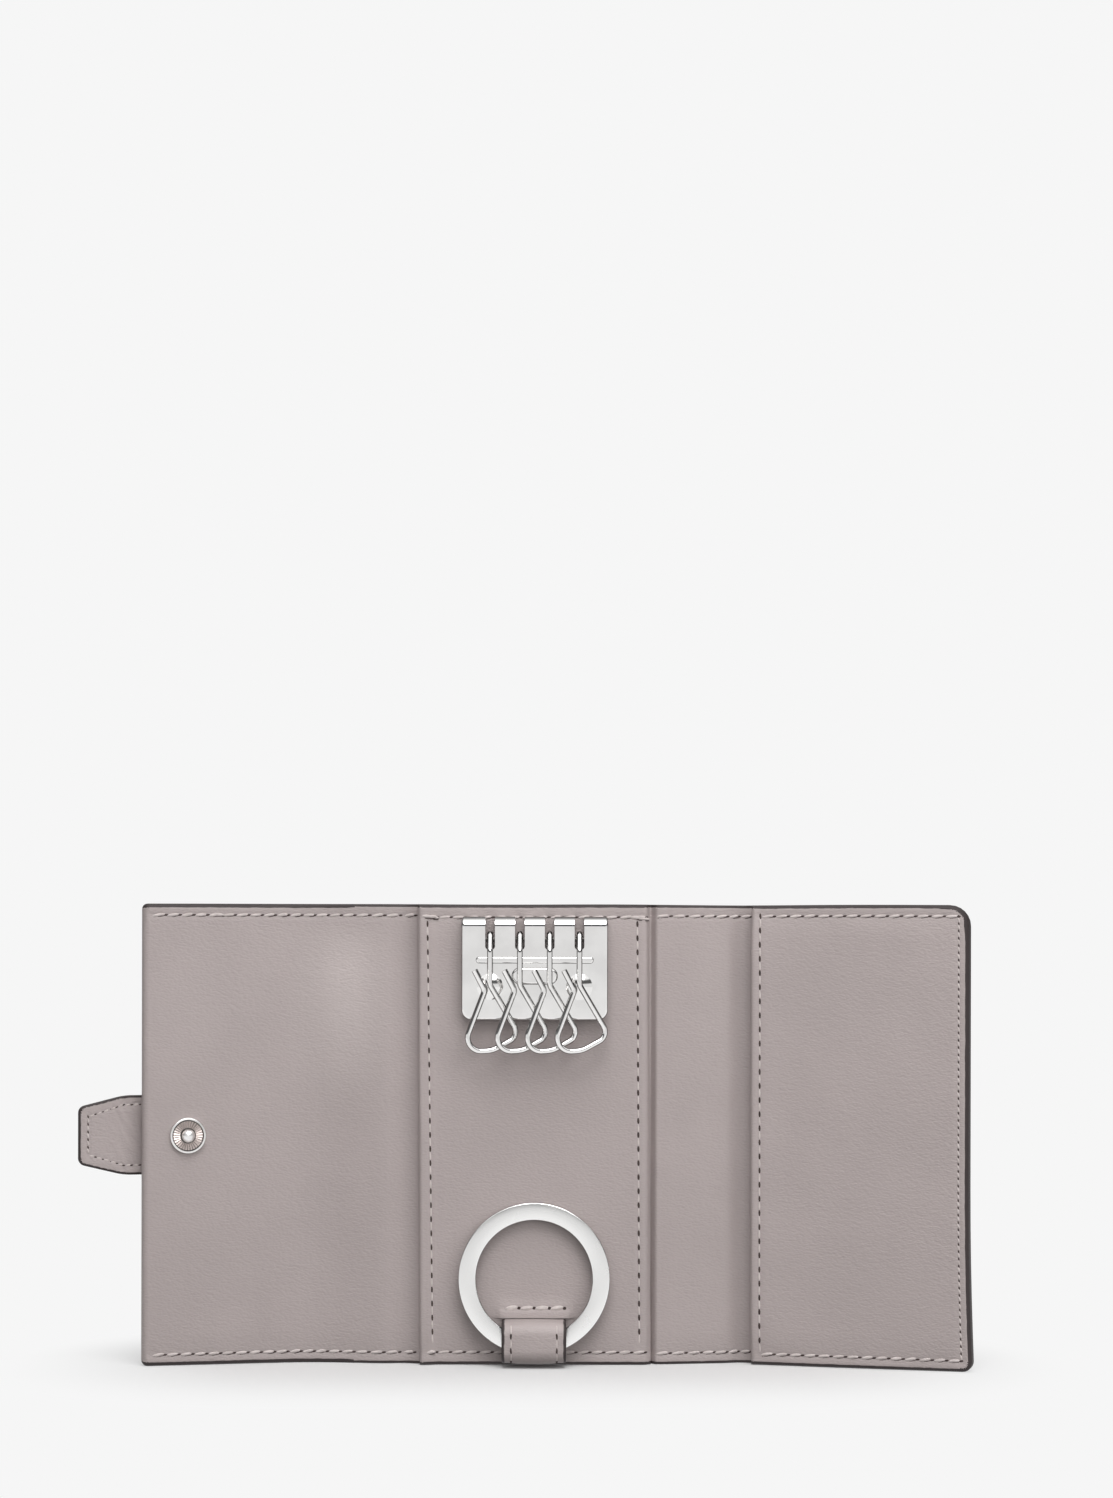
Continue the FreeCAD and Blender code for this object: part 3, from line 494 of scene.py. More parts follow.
@dataclass(frozen=True)
class FibreFinish:
    """Matt spun or pressed fibre: sewing thread, the inside of a needle hole and stiffener board."""

    name: str
    light: Colour
    dark: Colour
    roughness: float
    fibres: float
    patches: float
    depth: float
    specular: float = 0.25

    def build(self) -> bpy.types.Material:
        """Wires the material.

        Returns:
            The material.
        """
        material, board, shader, place = start_material(self.name)
        fibre = EFFECTS.place(board, Effect.FIBRE, Vector=place, Fibres=self.fibres, Patches=self.patches)
        tone = board.remap(fibre.outputs["Tone"], NOISE_SPAN)
        board.link(board.mix(tone, self.dark, self.light), shader.inputs["Base Color"])
        shader.inputs["Roughness"].default_value = self.roughness
        shader.inputs["Specular IOR Level"].default_value = self.specular
        add_bump(board, shader, fibre.outputs["Height"], self.depth)
        return material


class Finishes:
    """Every material of the case, built once."""

    def __init__(self) -> None:
        """Builds the materials."""
        self.leather = LeatherFinish(
            "taupe_leather_drawn",
            light=(0.405, 0.351, 0.343, 1),
            dark=(0.385, 0.334, 0.326, 1),
            paint=(0.036, 0.027, 0.027, 1),
            # The lighter colour is the painted highlight on the soft bends.
            stretched=(0.485, 0.426, 0.416, 1),
        ).build()
        self.thread = FibreFinish(
            "taupe_thread", (0.600, 0.540, 0.525, 1), (0.500, 0.445, 0.430, 1),
            roughness=0.62, fibres=5200.0, patches=700.0, depth=0.00003,
        ).build()
        self.needle_hole = FibreFinish(
            "needle_hole", (0.070, 0.050, 0.047, 1), (0.045, 0.032, 0.030, 1),
            roughness=0.8, fibres=4000.0, patches=900.0, depth=0.00002,
        ).build()
        self.board = FibreFinish(
            "grey_board", (0.340, 0.320, 0.290, 1), (0.270, 0.250, 0.220, 1),
            roughness=0.85, fibres=2400.0, patches=300.0, depth=0.00004,
        ).build()
        self.nickel = MetalFinish(
            "bright_nickel", (0.93, 0.92, 0.91, 1), (0.88, 0.87, 0.86, 1), (0.05, 0.12)
        ).build()
        self.satin_nickel = MetalFinish(
            "satin_nickel", (0.98, 0.975, 0.965, 1), (0.95, 0.945, 0.935, 1), (0.20, 0.28),
            hairlines=3600.0, scratch_depth=0.0000002,
        ).build()
        steep = (0.6, 0.95)
        self.stud_nickel = MetalFinish(
            "stud_nickel", (0.97, 0.955, 0.945, 1), (0.94, 0.925, 0.915, 1), (0.36, 0.44), painted_rim_turn=steep
        ).build()
        # The ribs' pink tint is a painted reflection of the leather mirrored in them; the darker rib finish
        # after it is painted shade for every other rib.
        self.rib_painted_reflection = MetalFinish(
            "rib_painted_reflection", (0.74, 0.655, 0.625, 1), (0.68, 0.60, 0.57, 1), (0.40, 0.48), painted_rim_turn=steep
        ).build()
        self.rib_shade = MetalFinish(
            "rib_shade", (0.50, 0.435, 0.41, 1), (0.45, 0.39, 0.37, 1), (0.40, 0.48), painted_rim_turn=steep
        ).build()
        # A dark nickel used as painted shade in hollows of the stud and on the pivot rod.
        self.shaded_nickel = MetalFinish(
            "shaded_nickel", (0.20, 0.19, 0.18, 1), (0.13, 0.12, 0.115, 1), (0.4, 0.55)
        ).build()
        self.spring_steel = MetalFinish(
            "drawn_spring_steel", (0.62, 0.61, 0.59, 1), (0.50, 0.49, 0.47, 1), (0.25, 0.4)
        ).build()


@dataclass(frozen=True)
class FoldLine:
    """One upright fold of the case, seen from above."""

    place: float
    corner: Vector
    before: float
    turn: float
    reach: float


@dataclass
class FoldedPlan:
    """The folded case seen from above, with each fold eased into a soft bend."""

    flap_turn: float = math.radians(21)
    panel_turn: float = math.radians(24)
    reaches: tuple[float, float, float, float] = (11.0, 3.4, 3.0, 3.2)
    ripple: float = 0.10
    ripple_length: float = 23.0
    crest: float = 0.16
    crest_length: float = 34.0
    crest_seat: float = 0.5
    flare: float = 0.9
    flare_height: float = 40.0
    flare_run: float = 51.3
    dips: tuple[tuple[float, float, float], ...] = ((-29.2, 3.0, 1.0), (25.7, 0.8, 1.0), (46.0, 2.6, 0.55))
    dip_depths: tuple[float, float] = (-0.6, 0.6)
    dip_outside: float = 0.15
    feeler: float = 0.05
    case_height: float = CAD_BOX[1].z / MM
    folds: list[FoldLine] = field(default_factory=list)
    headings: list[float] = field(default_factory=list)

    def __post_init__(self) -> None:
        """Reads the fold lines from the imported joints."""
        names = ("left_outer_fold", "left_inner_fold", "right_inner_fold", "right_outer_fold")
        joints = {joint["name"]: Vector(joint["pos_m"][:2]) / MM for joint in frame["joints"]}
        corners = [joints[name] for name in names]
        runs = [end - start for start, end in zip(corners, corners[1:])]
        middle = [math.atan2(run.y, run.x) for run in runs]
        self.headings = [middle[0] + self.flap_turn, *middle, middle[-1] - self.panel_turn]
        left, right = corners[1].x, corners[2].x
        places = (left - runs[0].length, left, right, right + runs[-1].length)
        for index, (place, corner, reach) in enumerate(zip(places, corners, self.reaches)):
            before, after = self.headings[index], self.headings[index + 1]
            self.folds.append(FoldLine(place, corner, before, after - before, reach))

    @staticmethod
    def _ahead(heading: float) -> Vector:
        """Gives the unit vector along a heading."""
        return Vector((math.cos(heading), math.sin(heading)))

    @staticmethod
    def _aside(heading: float) -> Vector:
        """Gives the unit vector to the left of a heading."""
        return Vector((-math.sin(heading), math.cos(heading)))

    def locate(self, along: float) -> tuple[Vector, float]:
        """Finds a place on the middle of the outer leather.

        Args:
            along: The flat place along the case.

        Returns:
            The point seen from above and the heading there.
        """
        for fold in self.folds:
            past = along - fold.place
            if abs(past) < fold.reach:
                radius = fold.reach / math.tan(abs(fold.turn) / 2)
                swing = fold.turn * (past + fold.reach) / (2 * fold.reach)
                entry = fold.corner - self._ahead(fold.before) * fold.reach
                forward = self._ahead(fold.before) * radius * math.sin(abs(swing))
                sideways = self._aside(fold.before) * math.copysign(radius * (1 - math.cos(swing)), fold.turn)
                return entry + forward + sideways, fold.before + swing
        index = sum(fold.place <= along for fold in self.folds)
        fold = self.folds[max(index - 1, 0)]
        heading = self.headings[index]
        return fold.corner + self._ahead(heading) * (along - fold.place), heading

    def place(self, along: float, depth: float, height: float) -> Vector:
        """Drapes one flat point.

        Args:
            along: The flat place along the case.
            depth: The depth towards the inside.
            height: The height above the base.

        Returns:
            The point in metres.
        """
        low = max(0.0, 1 - height / self.flare_height)
        past = max(0.0, along - self.folds[-1].place) / self.flare_run
        point, heading = self.locate(along + self.flare * past * low * low)
        wave = noise.noise(Vector((along, height, 0)) / self.ripple_length) * self.ripple
        crest = noise.noise(Vector((along / self.crest_length, self.crest_seat, 0))) * self.crest
        dip = sum(deep * math.exp(-(((along - middle) / reach) ** 2)) for middle, reach, deep in self.dips)
        dip *= self.dip_outside + (1 - self.dip_outside) * ease(*self.dip_depths, depth)
        spot = point - self._aside(heading) * (depth + wave - dip)
        lifted = height + crest * (height / self.case_height) ** 2
        return Vector((spot.x, spot.y, lifted)) * MM

    def axes(
        self, along: float, depth: float, height: float, outside: bool
    ) -> tuple[Vector, Vector, Vector, Vector]:
        """Finds a draped point and the directions of the leather there.

        Args:
            along: The flat place along the case.
            depth: The depth towards the inside.
            height: The height above the base.
            outside: Whether the surface faces out of the case.

        Returns:
            The point, the direction along the case, the direction up and the surface's own direction.
        """
        step = self.feeler
        spot = self.place(along, depth, height)
        across = self.place(along + step, depth, height) - self.place(along - step, depth, height)
        upward = self.place(along, depth, height + step) - self.place(along, depth, height - step)
        across.normalize()
        upward.normalize()
        facing = across.cross(upward).normalized()
        return spot, across, upward, -facing if outside else facing


PLAN = FoldedPlan()


@dataclass(frozen=True)
class Ride:
    """How a piece follows the case: on one body, or fixed in place when it spans two bodies across a fold."""

    body: str
    other: Optional[str] = None
    start: float = 0.0
    end: float = 0.0

    def apply(self, piece: bpy.types.Object) -> None:
        """Makes a piece follow its body, or fixes in place a piece that spans two bodies."""
        if self.other is None:
            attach(piece, self.body)
        else:
            start, end = PLAN.place(self.start, 0, 0), PLAN.place(self.end, 0, 0)
            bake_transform(piece)


def finish_piece(
    name: str, shape: bmesh.types.BMesh, materials: Sequence[bpy.types.Material], ride: Ride, slot: str,
    replaced: Sequence[str] = (),
) -> bpy.types.Object:
    """Turns a finished bmesh into a piece of the case.

    Args:
        name: The piece's name.
        shape: Its mesh in metres, which is freed.
        materials: Its material slots.
        ride: How it follows the case.
        slot: The record's material slot; not used.
        replaced: The CAD nodes that it stands for.

    Returns:
        The new object.
    """
    shape.normal_update()
    for face in shape.faces:
        face.smooth = True
    for edge in shape.edges:
        edge.smooth = edge.calc_face_angle(math.pi) < SHARP_ANGLE
    mesh = bpy.data.meshes.new(name)
    shape.to_mesh(mesh)
    shape.free()
    for material in materials:
        mesh.materials.append(material)
    piece = bpy.data.objects.new(name, mesh)
    bpy.context.scene.collection.objects.link(piece)
    ride.apply(piece)
    if replaced:
        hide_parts(*replaced)
    log.info("%s: %d faces", name, len(mesh.polygons))
    return piece


def slice_mesh(shape: bmesh.types.BMesh, axis: int, places: Iterable[float]) -> None:
    """Cuts edge lines into a mesh at places along one axis.

    Args:
        shape: The mesh to cut.
        axis: 0 for along the case, 2 for up.
        places: Where the cuts go.
    """
    normal = Vector((0, 0, 0))
    normal[axis] = 1
    for place in sorted(set(round(place, 3) for place in places)):
        everything = [*shape.verts, *shape.edges, *shape.faces]
        bmesh.ops.bisect_plane(shape, geom=everything, dist=TINY, plane_co=normal * place, plane_no=normal)


def round_off(shape: bmesh.types.BMesh, geom: list, offset: float, segments: int, affect: str) -> None:
    """Rounds corners or edges of a mesh.

    Args:
        shape: The mesh.
        geom: The vertices or edges to round.
        offset: How far the rounding reaches.
        segments: How many facets it has.
        affect: Either VERTICES or EDGES.
    """
    bmesh.ops.bevel(
        shape, geom=geom, offset=offset, offset_type="OFFSET", segments=segments, profile=0.5,
        affect=affect, clamp_overlap=True, material=-1,
    )


def wire_section(places: Iterable[Sequence[float]], rounding: float) -> bmesh.types.BMesh:
    """Starts a mesh from the rounded outline that a strap or a wire is drawn from.

    Args:
        places: The outline's corners.
        rounding: The size of its rounded corners.

    Returns:
        A mesh with the outline's edges and no face.
    """
    shape = bmesh.new()
    verts = [shape.verts.new(place) for place in places]
    shape.faces.new(verts)
    round_off(shape, verts, rounding, SECTION_SEGMENTS, "VERTICES")
    bmesh.ops.delete(shape, geom=list(shape.faces), context="FACES_ONLY")
    return shape


def edges_among(items: Iterable[object]) -> list[bmesh.types.BMEdge]:
    """Picks the edges out of an operator's result."""
    return [item for item in items if isinstance(item, bmesh.types.BMEdge)]


def face_outwards(shape: bmesh.types.BMesh) -> None:
    """Turns every face of a closed mesh outwards."""
    bmesh.ops.recalc_face_normals(shape, faces=list(shape.faces))


def close_ends(shape: bmesh.types.BMesh) -> None:
    """Closes the open ends of a mesh that was spun or extruded from a loop."""
    bmesh.ops.holes_fill(shape, edges=[edge for edge in shape.edges if edge.is_boundary], sides=0)
    face_outwards(shape)


class StitchLook(Enum):
    """Four looks of sewing.

    Each has the length, width and rise of a stitch, its slant, the length and width of a needle hole,
    and the width of the dark bead under the stitch, its painted shadow.
    """

    ROPE = (2.75, 0.80, 0.66, 9.0, 1.00, 0.52, 0.27)
    FINE = (2.15, 0.42, 0.34, 2.0, 1.50, 0.62, 0.0)
    DOTTED = (1.20, 0.48, 0.38, 14.0, 0.75, 0.40, 0.0)
    BOLD = (3.15, 1.15, 0.90, 7.0, 0.90, 0.85, 0.45)


@dataclass(frozen=True)
class StitchRow:
    """One straight row of stitches in the flat case."""

    start: tuple[float, float]
    end: tuple[float, float]
    look: StitchLook = StitchLook.ROPE
    pitch: float = 3.1
    draws_in: bool = True


class Sewing:
    """Collects the stitches and needle holes of one leather piece."""

    THREAD, HOLE = 0, 1
    THREAD_RINGS, HOLE_RINGS = (8, 6), (6, 4)
    SINK_SHARE = 0.12
    FLATNESS = 3
    TILT_SPREAD = 3
    WIDTH_SPREAD = (0.92, 1.06)
    LENGTH_SPREAD = (0.95, 1.04)

    def __init__(self, seed: int) -> None:
        """Starts with no stitch, and a seed for the sewer's small unevenness."""
        self.shape = bmesh.new()
        self.chance = random.Random(seed)

    def _blob(self, spot: Vector, axes: Sequence[Vector], size: Sequence[float], slot: int) -> None:
        """Adds one flattened bead.

        Args:
            spot: Its middle, in metres.
            axes: Its side, facing and lengthwise directions.
            size: Its sizes along those directions, in millimetres.
            slot: Its material slot.
        """
        turn = Matrix(axes).transposed().to_4x4()
        scale = Matrix.Diagonal((*(length * MM for length in size), 1))
        around, lengthwise = self.THREAD_RINGS if slot == self.THREAD else self.HOLE_RINGS
        made = bmesh.ops.create_uvsphere(
            self.shape, u_segments=around, v_segments=lengthwise, radius=0.5,
            matrix=Matrix.Translation(spot) @ turn @ scale,
        )
        for face in {face for vert in made["verts"] for face in vert.link_faces}:
            face.material_index = slot

    def stitch(self, spot: Vector, ahead: Vector, facing: Vector, look: StitchLook) -> None:
        """Sews one stitch, with a dark bead under it as its painted shadow.

        Args:
            spot: The stitch's middle on the leather, in metres.
            ahead: The direction of the row.
            facing: The direction that the leather faces.
            look: The stitch's look.
        """
        length, width, rise, slant, *_, shade = look.value
        slant += self.chance.uniform(-self.TILT_SPREAD, self.TILT_SPREAD)
        lengthwise = (Matrix.Rotation(math.radians(slant), 3, facing) @ ahead).normalized()
        side = facing.cross(lengthwise)
        wide = width * self.chance.uniform(*self.WIDTH_SPREAD)
        size = (wide, rise, length * self.chance.uniform(*self.LENGTH_SPREAD))
        sunk = spot - facing * rise * self.SINK_SHARE * MM
        self._blob(sunk, (side, facing, lengthwise), size, self.THREAD)
        # Painted shadow: a dark bead along the stitch's lower edge stands in for the shadow it casts.
        if shade:
            below = spot - side * width / 2 * MM
            self._blob(below, (side, facing, lengthwise), (shade, shade / self.FLATNESS, length), self.HOLE)

    def needle(self, spot: Vector, ahead: Vector, facing: Vector, look: StitchLook) -> None:
        """Pricks the needle hole between two stitches.

        Args:
            spot: The hole's middle on the leather, in metres.
            ahead: The direction of the row.
            facing: The direction that the leather faces.
            look: The stitches' look.
        """
        slant, hole_length, hole_width = look.value[3:6]
        lengthwise = (Matrix.Rotation(math.radians(slant), 3, facing) @ ahead).normalized()
        hole = (hole_width, hole_width / self.FLATNESS, hole_length)
        self._blob(spot, (facing.cross(lengthwise), facing, lengthwise), hole, self.HOLE)

    def row(self, row: StitchRow, depth: Relief, outside: bool = False) -> None:
        """Sews one row on draped leather.

        Args:
            row: The row.
            depth: The depth of the leather's surface.
            outside: Whether it is sewn on the outside of the case.
        """
        start, end = Vector(row.start), Vector(row.end)
        count = max(1, round((end - start).length / row.pitch))
        run = (end - start) / count
        for index in range(count):
            for share, sew in ((0.5, self.stitch), (1.0, self.needle)):
                along, height = start + run * (index + share)
                spot, across, upward, facing = PLAN.axes(along, depth(along, height), height, outside)
                ahead = (across * run.x + upward * run.y).normalized()
                sew(spot, ahead, facing, row.look)

    def finish(self, name: str, finishes: Finishes, ride: Ride) -> bpy.types.Object:
        """Makes the sewing a piece of the case.

        Args:
            name: The piece's name.
            finishes: The materials.
            ride: How it follows the case.

        Returns:
            The new object.
        """
        return finish_piece(name, self.shape, (finishes.thread, finishes.needle_hole), ride, "taupe_leather")


@dataclass(frozen=True)
class Corner:
    """One corner of a flat cut of leather."""

    along: float
    height: float
    round: float = 0.0


def box_corners(left: float, right: float, rounds: Sequence[float] = (0, 0, 0, 0)) -> list[Corner]:
    """Lists the corners of a rectangular cut as high as the case.

    Args:
        left: Its left edge.
        right: Its right edge.
        rounds: Corner radii from the lower left, going round by the lower right.

    Returns:
        The corners.
    """
    high = PLAN.case_height
    places = ((left, 0), (right, 0), (right, high), (left, high))
    return [Corner(*place, radius) for place, radius in zip(places, rounds)]


@dataclass
class LeatherCut:
    """A cut of leather: rounded at its rims, sliced, shaped by a relief and draped over the folds."""

    name: str
    corners: Sequence[Corner]
    back: float
    front: float
    ride: Ride
    replaced: Sequence[str] = ()
    front_rim: float = 0.85
    back_rim: float = 0.0
    square_left: bool = False
    square_right: bool = False
    paint_left: bool = False
    paint_right: bool = False
    front_relief: Relief = no_relief
    back_relief: Relief = no_relief
    # The share of the painted highlight at each place, stored as the "stretch" attribute.
    stretch: Relief = no_relief
    along_cuts: Sequence[float] = ()
    height_cuts: Sequence[float] = ()
    rows: Sequence[StitchRow] = ()
    outside_rows: Sequence[StitchRow] = ()
    step: float = 4.0
    CORNER_SEGMENTS = 6
    RIM_SEGMENTS = 4
    HOLD = 0.25
    PAINT_START = 0.1
    PAINT_SPREAD = 0.3
    CREASE = 2.0
    FURROW = 0.10
    FURROW_REACH = 0.8

    def build(self, finishes: Finishes) -> list[bpy.types.Object]:
        """Makes the leather and its sewing.

        Args:
            finishes: The materials.

        Returns:
            The new objects.
        """
        shape = self._cut_out()
        self._round_rims(shape)
        self._slice(shape)
        self._mark_paint(shape)
        self._drape(shape)
        dressing = ((finishes.leather,), self.ride, "taupe_leather", self.replaced)
        made = [finish_piece(self.name, shape, *dressing)]
        if self.rows or self.outside_rows:
            sewing = Sewing(len(self.name))
            for row in self.rows:
                sewing.row(row, lambda *place: self.front + self._front_change(*place))
            for row in self.outside_rows:
                sewing.row(row, lambda *place: self.back + self._back_change(*place), outside=True)
            made.append(sewing.finish(f"{self.name}_stitching", finishes, self.ride))
        return made

    def _cut_out(self) -> bmesh.types.BMesh:
        """Cuts the outline, rounds its corners and gives it its thickness.

        Returns:
            The mesh in flat places.
        """
        shape = bmesh.new()
        verts = [shape.verts.new((corner.along, -self.back, corner.height)) for corner in self.corners]
        shape.faces.new(verts)
        spots = [vert.co.copy() for vert in verts]
        for index, (corner, vert) in enumerate(zip(self.corners, verts)):
            if not corner.round:
                continue
            to_last = spots[index - 1] - spots[index]
            to_next = spots[(index + 1) % len(spots)] - spots[index]
            offset = corner.round / math.tan(to_last.angle(to_next) / 2)
            round_off(shape, [vert], offset, self.CORNER_SEGMENTS, "VERTICES")
        shape.normal_update()
        bmesh.ops.solidify(shape, geom=list(shape.faces), thickness=self.front - self.back)
        levels = sorted({round(vert.co.y, 4) for vert in shape.verts})
        shift = -self.back - levels[-1]
        bmesh.ops.translate(shape, verts=list(shape.verts), vec=(0, shift, 0))
        face_outwards(shape)
        return shape

    def _ends(self) -> tuple[float, float]:
        """Gives the leftmost and rightmost flat places."""
        places = [corner.along for corner in self.corners]
        return min(places), max(places)

    def _round_rims(self, shape: bmesh.types.BMesh) -> None:
        """Rounds the outline's edges on each face, but not at an end that is left square."""
        left, right = self._ends()
        square = [end for end, plain in ((left, self.square_left), (right, self.square_right)) if plain]
        for level, rim in ((-self.front, self.front_rim), (-self.back, self.back_rim)):
            if not rim:
                continue
            edges = [
                edge for edge in shape.edges
                if all(abs(vert.co.y - level) < TINY for vert in edge.verts)
                and not any(all(abs(vert.co.x - end) < TINY for vert in edge.verts) for end in square)
            ]
            round_off(shape, edges, rim, self.RIM_SEGMENTS, "EDGES")

    def _slice(self, shape: bmesh.types.BMesh) -> None:
        """Cuts the lines that bends, furrows and reliefs need."""
        left, right = self._ends()
        heights = [corner.height for corner in self.corners]
        low, high = min(heights), max(heights)
        hold = max(self.front_rim, self.back_rim) + self.HOLD
        along = [left + hold, right - hold, *self.along_cuts, *spaced(left, right, self.step)]
        upward = [low + hold, high - hold, *self.height_cuts, *spaced(low, high, 2 * self.step)]
        for fold in PLAN.folds:
            bend = spaced(fold.place - fold.reach, fold.place + fold.reach, fold.reach / 6)
            bend += spaced(fold.place - self.CREASE, fold.place + self.CREASE, self.CREASE / 4)
            along += [place for place in bend if left < place < right]
        for row in (*self.rows, *self.outside_rows):
            if not row.draws_in:
                continue
            level = row.start[1] == row.end[1]
            near, far = sorted((row.start[level], row.end[level]))
            ends = (near - self.FURROW_REACH, far + self.FURROW_REACH)
            (upward if level else along).extend((*ends, *spaced(*ends, self.FURROW_REACH / 2)))
        slice_mesh(shape, 0, [place for place in along if left + TINY < place < right - TINY])
        slice_mesh(shape, 2, [place for place in upward if low + TINY < place < high - TINY])

    def _mark_paint(self, shape: bmesh.types.BMesh) -> None:
        """Stores how far each point turns away from the faces, where the edge is painted, and its share of
        the painted highlight.
        """
        layer = shape.verts.layers.float.new("paint")
        # The "stretch" layer holds the painted highlight's share.
        bend = shape.verts.layers.float.new("stretch")
        shape.normal_update()
        for vert in shape.verts:
            along = vert.normal.x
            if (along < 0 and not self.paint_left) or (along > 0 and not self.paint_right):
                along = 0.0
            share = math.hypot(along, vert.normal.z)
            on_face = min(abs(vert.co.y + self.front), abs(vert.co.y + self.back)) < TINY
            vert[layer] = max(share, self.PAINT_SPREAD) if on_face and share > self.PAINT_START else share
            vert[bend] = self.stretch(vert.co.x, vert.co.z)

    def _furrow(self, rows: Sequence[StitchRow], along: float, height: float) -> float:
        """Gives how far the rows of stitches draw the leather in at a place."""
        drawn = 0.0
        for row in rows:
            if not row.draws_in:
                continue
            level = row.start[1] == row.end[1]
            place, aside = (along, height) if level else (height, along)
            start, end = row.start[not level], row.end[not level]
            share = min(1.0, max(0.0, (place - start) / (end - start)))
            away = aside - row.start[level] - share * (row.end[level] - row.start[level])
            inside = min(start, end) - 1 < place < max(start, end) + 1
            if inside and abs(away) < self.FURROW_REACH:
                drawn = max(drawn, self.FURROW * math.cos(away / self.FURROW_REACH * math.pi / 2))
        return drawn

    def _front_change(self, along: float, height: float) -> float:
        """Gives how far the front stands off its plain level at a place."""
        return self.front_relief(along, height) - self._furrow(self.rows, along, height)

    def _back_change(self, along: float, height: float) -> float:
        """Gives how far the back stands off its plain level at a place."""
        return self.back_relief(along, height) + self._furrow(self.outside_rows, along, height)

    def _drape(self, shape: bmesh.types.BMesh) -> None:
        """Shapes both faces and lays the cut over the folds."""
        for vert in shape.verts:
            along, depth, height = vert.co.x, -vert.co.y, vert.co.z
            share = (depth - self.back) / (self.front - self.back)
            depth += share * self._front_change(along, height)
            depth += (1 - share) * self._back_change(along, height)
            vert.co = PLAN.place(along, depth, height)


